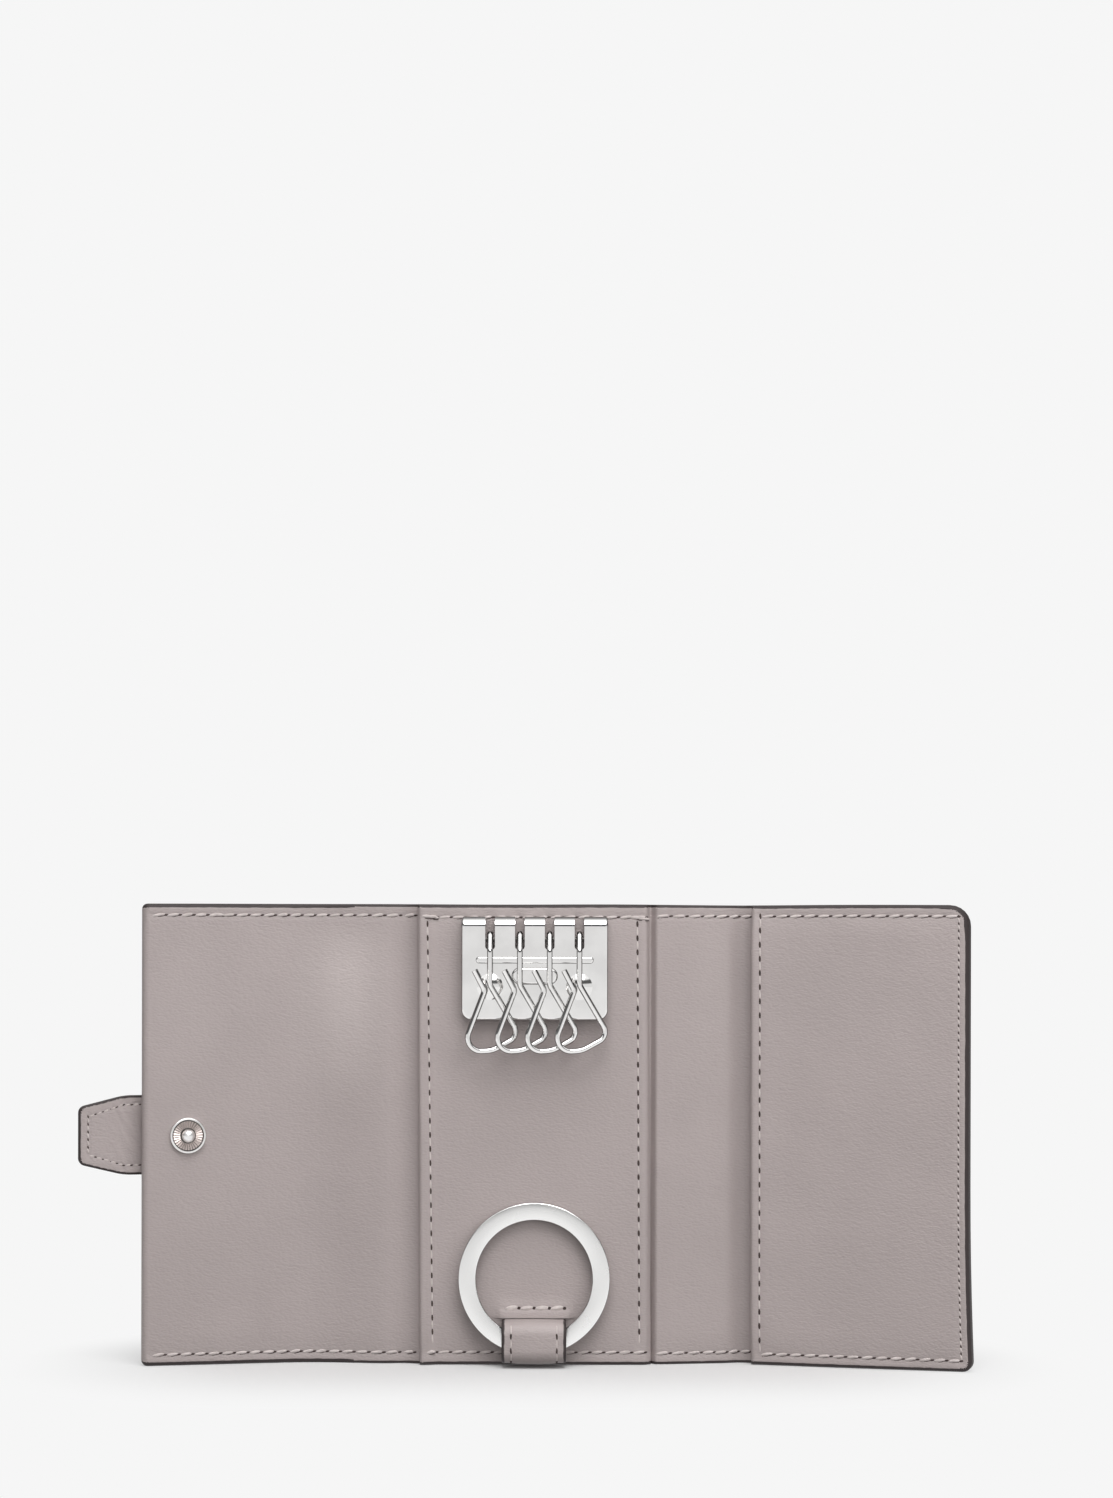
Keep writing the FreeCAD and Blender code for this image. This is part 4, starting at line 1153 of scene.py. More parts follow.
@dataclass
class CaseLeather:
    """The outer leather, the linings, the key panel, the slip pocket and the closing tab."""

    finishes: Finishes
    height: float = PLAN.case_height
    flap_edge: float = -87.9
    left_split: float = -40.0
    key_edge: float = 25.9
    right_split: float = 37.2
    pocket_edge: float = 49.1
    right_edge: float = 97.55
    half_cover: float = 0.6
    flap_face: float = 2.4
    spine_face: float = 1.4
    key_face: float = 2.4
    backing_face: float = 2.2
    pocket_face: float = 3.6
    pocket_gap: float = 0.4
    mouth_lift: float = 0.8
    mouth_reach: float = 9.0
    seam: float = 3.0
    row_low: float = 2.5
    row_high: float = 99.5
    key_row_low: float = 2.8
    key_row_high: float = 99.15
    key_rows: tuple[tuple[float, float], tuple[float, float]] = ((-22.5, -23.8), (23.3, 22.7))
    pocket_row: float = 51.3
    right_row: float = 95.35
    top_corner: float = 4.6
    low_corner: float = 2.2
    flap_corner: float = 1.2
    turned_round: float = 1.4
    valley: float = 0.70
    key_valley: float = 0.60
    key_lift: float = 1.5
    key_slant: tuple[float, float] = (0.6, 0.75)
    key_lift_reach: float = 5.5
    crevice: float = 0.72
    crevice_reach: float = 1.3
    swell: float = 0.05
    # The swelling near the top of the soft bends; its share also lays the painted highlight there.
    bulge: float = 1.2
    bulge_heights: tuple[float, float, float, float] = (50.0, 82.0, 84.0, 101.0)
    bulge_places: tuple[float, float] = (-43.0, 40.5)
    bulge_reaches: tuple[float, float] = (8.0, 4.5)
    bulge_shares: tuple[float, float] = (1.0, 0.12)
    tab_sizes: tuple[float, float, float, float] = (20.0, 3.8, 13.8, 1.6)
    tab_widths: tuple[float, float] = (17.6, 12.6)
    tab_middle: float = 50.8
    tab_thick: float = 1.8

    def build(self) -> None:
        """Makes every leather piece."""
        left = (*self._outer(), *self._left_lining())
        for cut in (*left, self._key_panel(), *self._right_lining(), self._pocket(), self._tab()):
            cut.build(self.finishes)

    def _level_rows(self, start: float, end: float) -> list[StitchRow]:
        """Lists the rows along the lower and upper edge between two places."""
        return [StitchRow((start, level), (end, level)) for level in (self.row_low, self.row_high)]

    def _turned_edge(self, along: float) -> float:
        """Rounds the flap's free edge, where the leather turns over it."""
        inside = min(along - self.flap_edge, self.turned_round)
        missing = self.turned_round - inside
        return math.sqrt(max(self.turned_round**2 - missing**2, 0)) - self.turned_round

    def _crown(self, along: float, height: float) -> float:
        """Gives how far the leather stands off its board near the top of a soft bend."""
        return self.bulge * self._crown_share(along, height)

    def _crown_share(self, along: float, height: float) -> float:
        """Gives the share of that swelling at a place, which also sets the painted highlight that lightens
        the leather's colour there.
        """
        start, full, hold, end = self.bulge_heights
        upward = ease(start, full, height) * (1 - ease(hold, end, height))
        sides = zip(self.bulge_places, self.bulge_reaches, self.bulge_shares)
        across = sum(share * math.exp(-(((along - place) / reach) ** 2)) for place, reach, share in sides)
        return upward * across

    def _outer(self) -> list[LeatherCut]:
        """Cuts the outer leather, in four stretches that each cross one fold.

        Returns:
            The four cuts.
        """
        outer_left, inner_left, inner_right, outer_right = PLAN.folds
        bend = 1.8
        stretches = (
            ("outer_leather_flap", self.flap_edge, self.left_split, outer_left, "flap", "left_spine",
             ("flap_cover", "left_spine_cover"), (self.flap_corner, 0, 0, self.flap_corner)),
            ("outer_leather_left", self.left_split, 0.0, inner_left, "left_spine", "back_panel",
             ("back_cover",), (0, 0, 0, 0)),
            ("outer_leather_right", 0.0, self.right_split, inner_right, "back_panel", "right_spine",
             ("right_spine_cover",), (0, 0, 0, 0)),
            ("outer_leather_panel", self.right_split, self.right_edge, outer_right,
             "right_spine", "right_panel", ("right_cover",), (0, self.low_corner, self.top_corner, 0)),
        )
        cuts = []
        for name, left, right, fold, body, other, nodes, rounds in stretches:
            first, last = left == self.flap_edge, right == self.right_edge
            rows = self._level_rows(left + (2.0 if first else 0), self.right_row if last else right)
            if last:
                ends = [(self.right_row, level) for level in (self.row_low, self.row_high)]
                rows.append(StitchRow(*ends, StitchLook.FINE))
            cuts.append(LeatherCut(
                name, box_corners(left, right, rounds), -self.half_cover, self.half_cover,
                Ride(body, other, fold.place - bend, fold.place + bend), nodes,
                front_rim=0.0, back_rim=0.5, square_left=not first, square_right=not last, paint_right=last,
                outside_rows=rows,
            ))
        return cuts

    def _left_lining(self) -> list[LeatherCut]:
        """Cuts the lining of the flap and the left spine, in two stretches.

        Returns:
            The two cuts.
        """
        outer, inner, *_ = PLAN.folds

        def flap_relief(along: float, height: float) -> float:
            thinned = ease(outer.place - 9, outer.place + 5, along) * (self.flap_face - self.spine_face)
            return self._turned_edge(along) - thinned + self._crown(along, height)

        def spine_relief(along: float, height: float) -> float:
            sunk = ease(inner.place - 3, -self.key_edge - 0.3, along) * self.key_valley
            return self._crown(along, height) - sunk

        edge_shares = (0.04, 0.12, 0.25, 0.45, 0.7, 1.0)
        edge_cuts = [self.flap_edge + self.turned_round * share for share in edge_shares]
        crown_cuts = spaced(self.bulge_heights[0], self.bulge_heights[-1], 3.0)
        corners = (self.flap_corner, 0, 0, self.flap_corner)
        flap = LeatherCut(
            "flap_lining_leather", box_corners(self.flap_edge, self.left_split, corners),
            self.half_cover, self.flap_face, Ride("flap", "left_spine", outer.place - 4, outer.place + 4),
            ("flap_lining",), front_rim=1.0, square_left=True, square_right=True,
            front_relief=flap_relief, along_cuts=edge_cuts,
            # stretch lays the painted highlight on this cut.
            height_cuts=crown_cuts, stretch=self._crown_share,
            rows=[
                *self._level_rows(self.flap_edge + 2.0, self.left_split),
                StitchRow((-72.6, 99.9), (-70.2, 99.3), pitch=2.4, draws_in=False),
            ],
        )
        spine = LeatherCut(
            "left_spine_leather", box_corners(self.left_split, self.key_slant[0] - self.key_edge),
            self.half_cover, self.spine_face,
            Ride("left_spine", "back_panel", inner.place - 4, inner.place + 1.5), ("left_spine_lining",),
            front_rim=0.72, square_left=True, square_right=True, front_relief=spine_relief,
            along_cuts=spaced(inner.place - 12, -self.key_edge, 0.7),
            # stretch lays the painted highlight on this cut.
            height_cuts=crown_cuts, stretch=self._crown_share,
            rows=self._level_rows(self.left_split, -self.key_edge - 0.6),
        )
        return [flap, spine]

    def _key_panel(self) -> LeatherCut:
        """Cuts the raised key panel with the lip over the ring strap.

        Returns:
            The cut.
        """
        lip_low, lip_high, lip_half, lip_rise = 10.45, 15.5, 7.9, 0.75

        def lip_relief(along: float, height: float) -> float:
            swell = 1 - ease(lip_half - 1.0, lip_half + 1.2, abs(along))
            upward = 1 - ease(lip_low, lip_high, height) if height > lip_low - 0.03 else 0.0
            lift = 1 - ease(-self.key_edge, self.key_lift_reach - self.key_edge, along)
            return lip_rise * swell * upward + self.key_lift * lift

        left_slant, right_slant = self.key_slant
        low = (Corner(-self.key_edge + left_slant, 0), Corner(self.key_edge, 0))
        high = (Corner(self.key_edge - right_slant, self.height), Corner(-self.key_edge, self.height))
        lip_cuts = [lip_low - 0.12, lip_low, *spaced(lip_low, lip_high, 0.55)]
        lift_cuts = spaced(-self.key_edge, self.key_lift_reach - self.key_edge, 0.8)
        lip_ends = spaced(lip_half - 1.0, lip_half + 1.2, 0.4)
        side_cuts = [side * place for side in (-1, 1) for place in lip_ends]
        rows = [
            StitchRow((-self.key_edge + 1.2, level), (self.key_edge - 1.2, level))
            for level in (self.key_row_low, self.key_row_high)
        ]
        rows += [
            StitchRow((low, self.key_row_low + 1.5), (high, self.key_row_high - 1.5), StitchLook.FINE)
            for low, high in self.key_rows
        ]
        for start, end in (((-25.1, 99.5), (-21.7, 98.9)), ((21.6, 99.3), (25.0, 98.7))):
            rows.append(StitchRow(start, end, pitch=1.7, draws_in=False))
        rows.append(StitchRow((-6.7, 12.6), (6.7, 12.6), StitchLook.BOLD, 3.35))
        return LeatherCut(
            "key_panel_leather", (*low, *high),
            self.half_cover, self.key_face, Ride("back_panel"), ("key_panel",),
            front_relief=lip_relief, along_cuts=side_cuts + lift_cuts, height_cuts=lip_cuts, rows=rows,
        )

    def _right_lining(self) -> list[LeatherCut]:
        """Cuts the lining of the right spine in two stretches, and the backing of the slip pocket.

        Returns:
            The three cuts.
        """
        *_, inner, outer = PLAN.folds

        def inner_relief(along: float, height: float) -> float:
            sunk = (1 - ease(self.key_edge, self.key_edge + self.crevice_reach, along)) * self.crevice
            return self._crown(along, height) - sunk

        def outer_relief(along: float, height: float) -> float:
            swell = ease(outer.place - 8, outer.place - 4, along) * self.swell
            sunk = ease(outer.place - 4, self.pocket_edge - 0.3, along) * (self.valley + self.swell)
            return swell - sunk + self._crown(along, height)

        crown_cuts = spaced(self.bulge_heights[0], self.bulge_heights[-1], 3.0)

        near = LeatherCut(
            "right_spine_leather", box_corners(self.key_edge - self.key_slant[1], self.right_split),
            self.half_cover, self.spine_face,
            Ride("back_panel", "right_spine", inner.place - 1.5, inner.place + 4), ("right_spine_lining",),
            front_rim=0.72, square_left=True, square_right=True, front_relief=inner_relief,
            along_cuts=spaced(self.key_edge - self.key_slant[1], inner.place + 4, 0.35),
            # stretch lays the painted highlight on this cut.
            height_cuts=crown_cuts, stretch=self._crown_share,
            rows=self._level_rows(self.key_edge + 0.6, self.right_split),
        )
        far = LeatherCut(
            "right_fold_leather", box_corners(self.right_split, self.pocket_edge + 0.4),
            self.half_cover, self.spine_face,
            Ride("right_spine", "right_panel", outer.place - 4, outer.place + 2.5),
            front_rim=0.72, square_left=True, square_right=True, front_relief=outer_relief,
            along_cuts=spaced(outer.place - 8, self.pocket_edge, 0.7),
            # stretch lays the painted highlight on this cut.
            height_cuts=crown_cuts, stretch=self._crown_share,
            rows=self._level_rows(self.right_split, self.pocket_edge - 0.6),
        )
        backing = LeatherCut(
            "pocket_backing_leather",
            box_corners(self.pocket_edge + 0.4, self.right_edge, (0, self.low_corner, self.top_corner, 0)),
            self.half_cover, self.backing_face, Ride("right_panel"), ("right_lining",),
            front_rim=0.0, square_left=True, paint_right=True,
        )
        return [near, far, backing]

    def _pocket(self) -> LeatherCut:
        """Cuts the slip pocket, open at its left edge and sewn down along the other three.

        Returns:
            The cut.
        """
        def gape(along: float, height: float) -> float:
            upward = ease(0, 3 * self.seam, min(height, self.height - height))
            mouth = 1 - ease(self.pocket_edge, self.pocket_edge + self.mouth_reach, along)
            return self.mouth_lift * upward * mouth

        def seam_relief(along: float, height: float) -> float:
            inside = min(self.right_edge - along, height, self.height - height)
            return gape(along, height) - self.pocket_gap * (1 - ease(self.seam * 0.5, self.seam, inside))

        def turned_relief(along: float, height: float) -> float:
            fold = 0.22 * (1 - ease(self.pocket_edge + 0.8, self.pocket_row + 0.3, along))
            return gape(along, height) + fold

        rows = self._level_rows(self.pocket_row, self.right_row)
        rows += [
            StitchRow((place, self.row_low), (place, self.row_high), look, pitch)
            for place, look, pitch in (
                (self.pocket_row, StitchLook.FINE, 3.1), (self.right_row, StitchLook.DOTTED, 1.6),
            )
        ]
        return LeatherCut(
            "slip_pocket_leather",
            box_corners(self.pocket_edge, self.right_edge, (0, self.low_corner, self.top_corner, 0)),
            self.backing_face + self.pocket_gap, self.pocket_face, Ride("right_panel"), ("slip_pocket",),
            front_rim=0.9, paint_right=True, front_relief=turned_relief, back_relief=seam_relief,
            height_cuts=[self.seam, self.height - self.seam],
            along_cuts=[
                self.pocket_edge + 0.8, self.right_edge - self.seam,
                *spaced(self.pocket_edge, self.pocket_row, 0.6),
            ],
            rows=rows,
        )

    def _tab(self) -> LeatherCut:
        """Cuts the closing tab, sewn on the outside of the flap.

        Returns:
            The cut.
        """
        base, straight, reach, corner = self.tab_sizes
        root, tip = (width / 2 for width in self.tab_widths)
        inner, shoulder, end = self.flap_edge + base, self.flap_edge - straight, self.flap_edge - reach
        low_side = ((end, -tip, corner), (shoulder, -root, 8 * corner), (inner, -root, corner))
        high_side = ((inner, root, corner), (shoulder, root, 8 * corner), (end, tip, corner))
        inset, middle = 2.1, self.tab_middle
        corners = [Corner(along, middle + up, radius) for along, up, radius in (*low_side, *high_side)]
        rows = []
        for side in (-1, 1):
            high_root, high_tip = middle + side * (root - inset), middle + side * (tip - inset)
            rows.append(StitchRow((end + inset, high_tip), (shoulder, high_root), StitchLook.DOTTED, 1.6))
            rows.append(StitchRow((shoulder, high_root), (inner - inset, high_root), StitchLook.DOTTED, 1.6))
        for place, half in ((end + inset, tip - inset), (inner - inset, root - inset)):
            rows.append(StitchRow((place, middle - half), (place, middle + half), StitchLook.DOTTED, 1.6))
        front_rows = [row for row in rows if row.end[0] <= shoulder + TINY]
        for side in (-1, 1):
            level = middle + side * (root - inset)
            hem = self.flap_edge + 1.6
            front_rows.append(StitchRow((shoulder, level), (hem, level), StitchLook.DOTTED, 1.6))

        def creases(along: float, height: float) -> float:
            near = ease(end + 3.0, self.flap_edge, along)
            wave = noise.noise(Vector(((along + 0.55 * height) * 0.9, (height - 0.4 * along) * 0.16, 3.0)))
            return near * (0.24 * wave - 1.35)

        return LeatherCut(
            "tab_leather", corners, -self.half_cover - self.tab_thick, -self.half_cover, Ride("flap"),
            ("tab_outer", "tab_lining"), front_rim=0.6, back_rim=0.5, paint_left=True, paint_right=True,
            rows=front_rows, outside_rows=rows, step=2.0, front_relief=creases,
            along_cuts=spaced(end, self.flap_edge + 2, 0.5),
            height_cuts=spaced(middle - root, middle + root, 0.7),
        )


@dataclass
class RingStrap:
    """The leather strap that holds the split ring, out under the lip and back in at the lower edge."""

    finishes: Finishes
    width: float = 14.2
    thick: float = 1.2
    high: float = 9.594
    low: float = 1.736
    front: float = -9.658
    root: float = -1.2
    bend: float = 2.4
    edge_round: float = 0.4
    stitch_side: float = 5.0
    stitch_pitch: float = 3.1
    bend_steps: int = 10
    width_cuts: int = 20
    puff: float = 0.28
    paint_spread: float = 0.3

    def build(self) -> None:
        """Makes the strap and its two rows of stitches."""
        half, skin = self.width / 2, self.thick / 2
        places = ((-half, -skin), (half, -skin), (half, skin), (-half, skin))
        outline = [(across, self.root, self.high + up) for across, up in places]
        shape = wire_section(outline, self.edge_round)
        broad = [edge for edge in shape.edges if edge.calc_length() > half]
        bmesh.ops.subdivide_edges(shape, edges=broad, cuts=self.width_cuts)
        turn = self.front + self.bend
        end = self._run(shape, list(shape.edges), Vector((0, turn - self.root, 0)))
        end = self._curl(shape, end, Vector((0, turn, self.high - self.bend)))
        end = self._run(shape, end, Vector((0, 0, self.low - self.high + 2 * self.bend)))
        end = self._curl(shape, end, Vector((0, turn, self.low + self.bend)))
        self._run(shape, end, Vector((0, self.root - turn, 0)))
        close_ends(shape)
        layer = shape.verts.layers.float.new("paint")
        shape.normal_update()
        for vert in shape.verts:
            share = abs(vert.normal.x)
            vert[layer] = max(share, self.paint_spread) if share > TINY else 0.0
        self._pad(shape, Vector((0, turn, (self.high + self.low) / 2)))
        bmesh.ops.scale(shape, verts=list(shape.verts), vec=(MM, MM, MM))
        finish_piece(
            "ring_strap_leather", shape, (self.finishes.leather,), Ride("back_panel"), "taupe_leather",
            ("ring_strap",),
        )
        self._sew()

    def _pad(self, shape: bmesh.types.BMesh, middle: Vector) -> None:
        """Swells the outer side of the strap between its two rows of stitches.

        Args:
            shape: The strap's mesh.
            middle: A point inside the loop.
        """
        for vert in shape.verts:
            away = (vert.co - middle) * Vector((0, 1, 1))
            share = abs(vert.co.x) / self.stitch_side
            if vert.normal.dot(away) > 0 and share < 1:
                swell = self.puff * math.sqrt(math.cos(share * math.pi / 2))
                vert.co += vert.normal * swell * ease(-4.0, -7.0, vert.co.y)

    def _run(self, shape: bmesh.types.BMesh, edges: list, step: Vector) -> list:
        """Extrudes the strap's end in a straight line.

        Args:
            shape: The strap's mesh.
            edges: The loop of edges at its end.
            step: The run.

        Returns:
            The loop at the new end.
        """
        grown = bmesh.ops.extrude_edge_only(shape, edges=edges)["geom"]
        moved = [item for item in grown if isinstance(item, bmesh.types.BMVert)]
        bmesh.ops.translate(shape, verts=moved, vec=step)
        return edges_among(grown)

    def _curl(self, shape: bmesh.types.BMesh, edges: list, centre: Vector) -> list:
        """Spins the strap's end a quarter turn about a line across it.

        Args:
            shape: The strap's mesh.
            edges: The loop of edges at its end.
            centre: A point on the line.

        Returns:
            The loop at the new end.
        """
        made = bmesh.ops.spin(
            shape, geom=edges, cent=centre, axis=(1, 0, 0), angle=math.radians(90), steps=self.bend_steps,
        )["geom_last"]
        return edges_among(made)

    def _sew(self) -> None:
        """Sews a row down each side of the strap's front."""
        sewing = Sewing(7)
        for side in (-1, 1):
            for index in (-1, 0, 1):
                for share, sew in ((0.0, sewing.stitch), (0.5, sewing.needle)):
                    spot, facing = self._front_spot((index + share) * self.stitch_pitch)
                    spot.x = side * self.stitch_side
                    sew(spot * MM, Vector((1, 0, 0)).cross(facing), facing, StitchLook.FINE)
        sewing.finish("ring_strap_stitching", self.finishes, Ride("back_panel"))

    def _front_spot(self, offset: float) -> tuple[Vector, Vector]:
        """Finds a place on the strap's outer side.

        Args:
            offset: The way down along the leather from the middle of its front.

        Returns:
            The place and the direction that the leather faces there.
        """
        outer = self.bend + self.thick / 2
        half = (self.high - self.low) / 2 - self.bend
        lean = math.copysign(max(0.0, abs(offset) - half) / outer, -offset)
        facing = Vector((0, -math.cos(lean), math.sin(lean)))
        level = (self.high + self.low) / 2 - min(half, max(-half, offset))
        return Vector((0, self.front + self.bend, level)) + facing * outer, facing


@dataclass
class SplitRing:
    """The flat split ring: two turns of one wire with a short climb between them."""

    finishes: Finishes
    radius: float = 16.7
    band: float = 3.8
    coil: float = 0.95
    slit: float = 0.1
    rise_angle: float = 24.0
    split_angle: float = 258.0
    centre_height: float = 19.4
    lean: float = 4.0
    edge_round: float = 0.22
    turn_steps: int = 120
    climb_steps: int = 8

    def build(self) -> None:
        """Spins the wire's section round the ring and stands it in the strap."""
        joints = {joint["name"]: joint["pos_m"] for joint in frame["joints"]}
        pivot = Vector(joints["ring_swing"]) / MM
        inner = self.radius - self.band
        back = self.coil + self.slit / 2
        front = back - self.coil
        places = ((inner, back), (self.radius, back), (self.radius, front), (inner, front))
        shape = wire_section([(across, deep, 0) for across, deep in places], self.edge_round)
        section = list(shape.edges)
        bmesh.ops.rotate(
            shape, verts=list(shape.verts), cent=(0, 0, 0),
            matrix=Matrix.Rotation(-math.radians(self.split_angle + self.rise_angle), 3, "Y"),
        )
        flat = math.radians(360 - self.rise_angle)
        climb = math.radians(self.rise_angle)
        section = self._spin(shape, section, flat, self.turn_steps, 0.0)
        section = self._spin(shape, section, climb, self.climb_steps, -(self.coil + self.slit))
        self._spin(shape, section, flat, self.turn_steps, 0.0)
        close_ends(shape)
        upright = Matrix.Translation((0, 0, self.centre_height - pivot.z))
        leaning = Matrix.Translation(pivot) @ Matrix.Rotation(-math.radians(self.lean), 4, "X")
        bmesh.ops.transform(shape, matrix=Matrix.Scale(MM, 4) @ leaning @ upright, verts=list(shape.verts))
        finish_piece(
            "split_ring_turned", shape, (self.finishes.satin_nickel,), Ride("ring"), "polished_nickel",
            ("split_ring",),
        )

    def _spin(self, shape: bmesh.types.BMesh, edges: list, angle: float, steps: int, shift: float) -> list:
        """Spins the wire's end part of the way round, with a steady shift along the ring's axis.

        Args:
            shape: The ring's mesh.
            edges: The loop of edges at the wire's end.
            angle: The turn.
            steps: How many steps it takes.
            shift: The whole shift along the axis.

        Returns:
            The loop at the new end.
        """
        made = bmesh.ops.spin(
            shape, geom=edges, cent=(0, 0, 0), axis=(0, -1, 0), dvec=(0, shift / steps, 0),
            angle=angle, steps=steps,
        )["geom_last"]
        return edges_among(made)


@dataclass
class SnapStud:
    """The snap's stud: a polished rim, a ring of fine radial ribs and a ball."""

    finishes: Finishes
    along: float = -78.0
    height: float = 50.8
    base: float = 2.4
    rim: float = 3.95
    rib_outer: float = 3.22
    groove: float = 0.18
    groove_level: float = 0.3
    rib_inner: float = 1.75
    rib_level: float = 0.62
    rib_height: float = 0.16
    ribs: int = 32
    flange: float = 1.0
    ball: float = 1.5
    neck: float = 1.2
    reach: float = 3.0

    def build(self) -> None:
        """Spins the stud's profile, raises the ribs and sets it on the flap."""
        shape = bmesh.new()
        crown = [
            (self.ball * math.sin(angle), self.reach - self.ball + self.ball * math.cos(angle))
            for angle in (math.radians(step * 15) for step in range(0, 9))
        ]
        profile = [
            *crown, (self.neck, self.rib_level + 0.25), (self.neck + 0.1, self.groove_level),
            (self.rib_inner - 0.05, self.groove_level), (self.rib_inner, self.rib_level),
            (self.rib_outer, self.rib_level + 0.05), (self.rib_outer + 0.02, self.groove_level),
            (self.rib_outer + self.groove, self.groove_level),
            (self.rib_outer + self.groove + 0.02, self.flange - 0.12),
            (self.rib_outer + self.groove + 0.1, self.flange), (self.rim - 0.28, self.flange),
            (self.rim - 0.08, self.flange - 0.10),
            (self.rim, self.flange - 0.32), (self.rim, 0.0), (0.0, 0.0),
        ]
        verts = [shape.verts.new((radius, 0, level)) for radius, level in profile]
        edges = [shape.edges.new(pair) for pair in zip(verts, verts[1:])]
        steps = self.ribs * 2
        bmesh.ops.spin(
            shape, geom=[*verts, *edges], cent=(0, 0, 0), axis=(0, 0, 1), angle=math.tau, steps=steps,
            use_merge=True,
        )
        bmesh.ops.remove_doubles(shape, verts=list(shape.verts), dist=TINY)
        for vert in shape.verts:
            radius = math.hypot(vert.co.x, vert.co.y)
            on_ribs = self.rib_inner - TINY < radius < self.rib_outer + TINY
            low = vert.co.z < self.rib_level + 0.1
            if on_ribs and low and round(math.atan2(vert.co.y, vert.co.x) / math.tau * steps) % 2:
                vert.co.z += self.rib_height
        face_outwards(shape)
        for face in shape.faces:
            middle = face.calc_center_median()
            radius = math.hypot(middle.x, middle.y)
            in_groove = self.rib_outer < radius < self.rib_outer + self.groove + 0.02
            at_foot = self.neck < radius < self.ball + 0.1
            on_ribs = self.rib_inner < radius < self.rib_outer
            step = math.floor(math.atan2(middle.y, middle.x) / math.tau * steps)
            # Painted shade and reflection: the groove and the ball's foot get the dark shaded nickel, every
            # other rib the darker rib finish, and the other ribs the pink painted reflection.
            if TINY < middle.z < self.rib_level + 0.2 and (in_groove or at_foot):
                face.material_index = 1
            elif middle.z > TINY and on_ribs:
                face.material_index = 2 + step % 2
        spot, across, upward, facing = PLAN.axes(self.along, self.base, self.height, False)
        seat = Matrix.Translation(spot) @ Matrix((across, upward, facing)).transposed().to_4x4()
        bmesh.ops.transform(shape, matrix=seat @ Matrix.Scale(MM, 4), verts=list(shape.verts))
        look = self.finishes
        materials = (look.stud_nickel, look.shaded_nickel, look.rib_painted_reflection, look.rib_shade)
        finish_piece("snap_stud_turned", shape, materials, Ride("flap"), "polished_nickel", ("snap_stud",))


class Hardware:
    """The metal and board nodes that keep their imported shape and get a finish."""

    BRIGHT = (
        "hook_plate", "plate_rivets", "key_hook_1", "key_hook_2", "key_hook_3", "key_hook_4",
        "snap_socket", "stud_post", "socket_post",
    )
    BOARDS = ("back_board", "flap_board", "right_board")
    SPRINGS = ("socket_spring",)
    # The pivot rod gets the dark shaded nickel: painted shade for the shadow it lies in behind the plate.
    SHADED = ("pivot_rod",)

    def __init__(self, finishes: Finishes) -> None:
        """Keeps the materials."""
        self.finishes = finishes

    def dress(self) -> None:
        """Puts a finish in each node's material slot."""
        dressing = (
            (self.BRIGHT, self.finishes.nickel), (self.BOARDS, self.finishes.board),
            (self.SPRINGS, self.finishes.spring_steel), (self.SHADED, self.finishes.shaded_nickel),
        )
        for nodes, material in dressing:
            for name in nodes:
                frame["nodes"][name].material_slots[0].material = material
                log.info("%s: %s", name, material.name)


@dataclass(frozen=True)
class Lamp:
    """A large soft light, aimed at the middle of the case."""

    name: str
    place: tuple[float, float, float]
    size: float
    power: float
    mirrored: bool

    def hang(self) -> None:
        """Puts the light in the scene."""
        light = bpy.data.lights.new(self.name, "AREA")
        light.energy = self.power
        light.shape = "SQUARE"
        light.size = self.size
        holder = bpy.data.objects.new(self.name, light)
        bpy.context.scene.collection.objects.link(holder)
        holder.location = self.place
        aim = Vector((0, 0, PLAN.case_height / 2 * MM)) - holder.location
        holder.rotation_euler = aim.to_track_quat("-Z", "Y").to_euler()
        holder.visible_glossy = self.mirrored


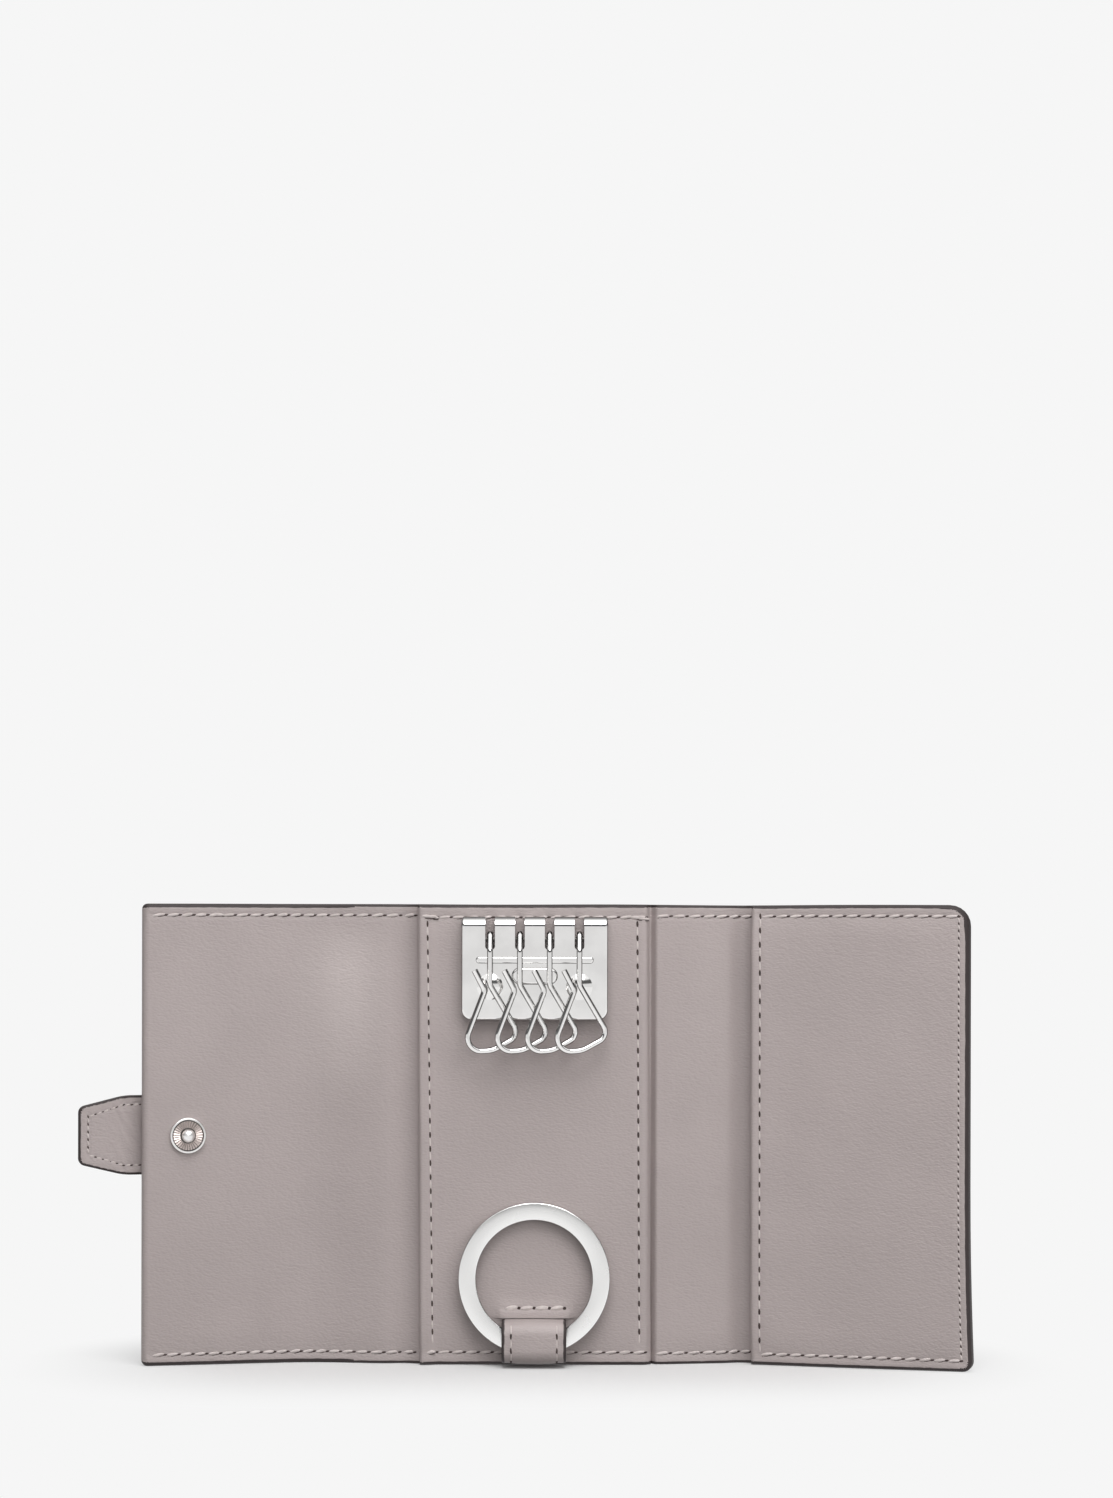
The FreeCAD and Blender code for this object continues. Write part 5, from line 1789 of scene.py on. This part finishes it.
@dataclass
class Studio:
    """Floor, soft light, pale surroundings and the camera."""

    image_size: tuple[int, int] = (1113, 1498)
    horizon: float = 931.6
    pixels_per_mm: float = 4.5
    middle_column: float = 535.0
    distance: float = 720.0
    eye_height: float = 96.0
    roll: float = 0.12
    sensor: float = 36.0
    backdrop: Colour = (0.922, 0.922, 0.922, 1)
    # The floor's darker colour near the case is painted shade that deepens its rendered shadow.
    painted_shade_floor_colour: Colour = (0.70, 0.70, 0.70, 1)
    floor_size: float = 6.0
    fade: tuple[float, float] = (0.01, 0.07)
    shadow_half: float = 0.05
    bounce_colour: Colour = (0.22, 0.22, 0.22, 1)
    ambient: float = 0.55
    lamps: tuple[Lamp, ...] = (
        Lamp("key_light", (0.06, -0.42, 0.68), 0.5, 4.1, True),
        Lamp("side_light", (0.66, -0.62, 0.25), 0.5, 1.6, False),
        Lamp("fill_light", (0.05, -1.3, 0.35), 1.0, 2.85, False),
    )

    def build(self) -> None:
        """Sets up the whole stage."""
        scene = bpy.context.scene
        scene.view_settings.view_transform = "Standard"
        self._floor()
        self._surroundings()
        for lamp in self.lamps:
            lamp.hang()
        self._camera()

    def _floor(self) -> None:
        """Lays the pale floor, which keeps the rendered shadow near the case, deepened there by the floor's
        darker colour as painted shade, and fades into the backdrop.
        """
        shape = bmesh.new()
        bmesh.ops.create_grid(shape, x_segments=1, y_segments=1, size=self.floor_size / 2)
        mesh = bpy.data.meshes.new("floor")
        shape.to_mesh(mesh)
        shape.free()
        floor = bpy.data.objects.new("floor", mesh)
        bpy.context.scene.collection.objects.link(floor)
        material = bpy.data.materials.new("pale_floor")
        material.use_nodes = True
        board = NodeTree(material.node_tree)
        material.node_tree.nodes.remove(material.node_tree.nodes["Principled BSDF"])
        rays = board.add("ShaderNodeLightPath")
        paper = board.add("ShaderNodeBsdfDiffuse")
        # Painted shade: the camera sees the floor near the case in its darker colour, which fades into the
        # backdrop further away.
        tint = board.mix(rays.outputs["Is Camera Ray"], self.bounce_colour, self.painted_shade_floor_colour)
        board.link(tint, paper.inputs["Color"])
        glow = board.add("ShaderNodeEmission")
        glow.inputs["Color"].default_value = self.backdrop
        parts = board.add("ShaderNodeSeparateXYZ")
        board.link(board.add("ShaderNodeTexCoord").outputs["Object"], parts.inputs[0])
        aside = board.math("SUBTRACT", board.math("ABSOLUTE", parts.outputs["X"]), self.shadow_half)
        across = board.math("POWER", board.math("MAXIMUM", aside, 0.0), 2.0)
        deep = board.math("POWER", board.math("ABSOLUTE", parts.outputs["Y"]), 2.0)
        away = board.math("SQRT", board.math("ADD", across, deep))
        far = board.remap(away, self.fade, (0.0, 1.0))
        mirrored = board.math("MAXIMUM", rays.outputs["Is Glossy Ray"], rays.outputs["Is Transmission Ray"])
        seen = board.math("MULTIPLY", far, rays.outputs["Is Camera Ray"])
        share = board.math("MAXIMUM", mirrored, seen)
        blend = board.blend(share, paper, glow)
        board.link(blend.outputs[0], material.node_tree.nodes["Material Output"].inputs["Surface"])
        mesh.materials.append(material)

    def _surroundings(self) -> None:
        """Makes the pale backdrop that the camera and the metal see, and the soft light from all round."""
        world = bpy.data.worlds.new("soft_studio")
        bpy.context.scene.world = world
        world.use_nodes = True
        board = NodeTree(world.node_tree)
        light = world.node_tree.nodes["Background"]
        light.inputs["Color"].default_value = (1, 1, 1, 1)
        light.inputs["Strength"].default_value = self.ambient
        shown = board.add("ShaderNodeBackground")
        shown.inputs["Color"].default_value = self.backdrop
        room = board.add("ShaderNodeBackground")
        room.inputs["Color"].default_value = (1, 1, 1, 1)
        board.link(self._room_level(board), room.inputs["Strength"])
        rays = board.add("ShaderNodeLightPath")
        mirrored = board.math("MAXIMUM", rays.outputs["Is Glossy Ray"], rays.outputs["Is Transmission Ray"])
        reflected = board.blend(mirrored, light, room)
        blend = board.blend(rays.outputs["Is Camera Ray"], reflected, shown)
        board.link(blend.outputs[0], world.node_tree.nodes["World Output"].inputs["Surface"])

    def _room_level(self, board: NodeTree) -> bpy.types.NodeSocket:
        """Makes the room that bright metal mirrors: pale in front and overhead, dark at the sides.

        Args:
            board: The world's tree.

        Returns:
            The brightness for a direction.
        """
        parts = board.add("ShaderNodeSeparateXYZ")
        board.link(board.add("ShaderNodeTexCoord").outputs["Object"], parts.inputs[0])
        ahead = board.remap(board.math("MULTIPLY", parts.outputs["Y"], -1.0), (-0.05, 0.35), (0.03, 0.78))
        band_low = board.remap(parts.outputs["Z"], (0.20, 0.30), (1.0, 0.12))
        overhead = board.remap(parts.outputs["Z"], (0.46, 0.62), (0.0, 0.97))
        return board.math("MAXIMUM", board.math("MULTIPLY", ahead, band_low), overhead)

    def _camera(self) -> None:
        """Sets the camera level, square to the key panel, with the case low in the frame."""
        wide, tall = self.image_size
        view = bpy.data.cameras.new("camera")
        view.sensor_width = self.sensor
        view.lens = self.sensor * self.pixels_per_mm * self.distance / tall
        view.shift_y = (self.horizon - tall / 2) / tall
        view.clip_end = 20.0
        holder = bpy.data.objects.new("camera", view)
        bpy.context.scene.collection.objects.link(holder)
        aside = (wide / 2 - self.middle_column) / self.pixels_per_mm
        holder.location = Vector((aside, -self.distance, self.eye_height)) * MM
        holder.rotation_euler = (math.radians(90), math.radians(-self.roll), 0)
        bpy.context.scene.camera = holder


def main() -> None:
    """Builds the case's pieces and the stage."""
    logging.basicConfig(level=logging.INFO, format="%(name)s %(message)s")
    finishes = Finishes()
    CaseLeather(finishes).build()
    RingStrap(finishes).build()
    SplitRing(finishes).build()
    SnapStud(finishes).build()
    Hardware(finishes).dress()
    Studio().build()


if __name__ == "__main__":
    main()
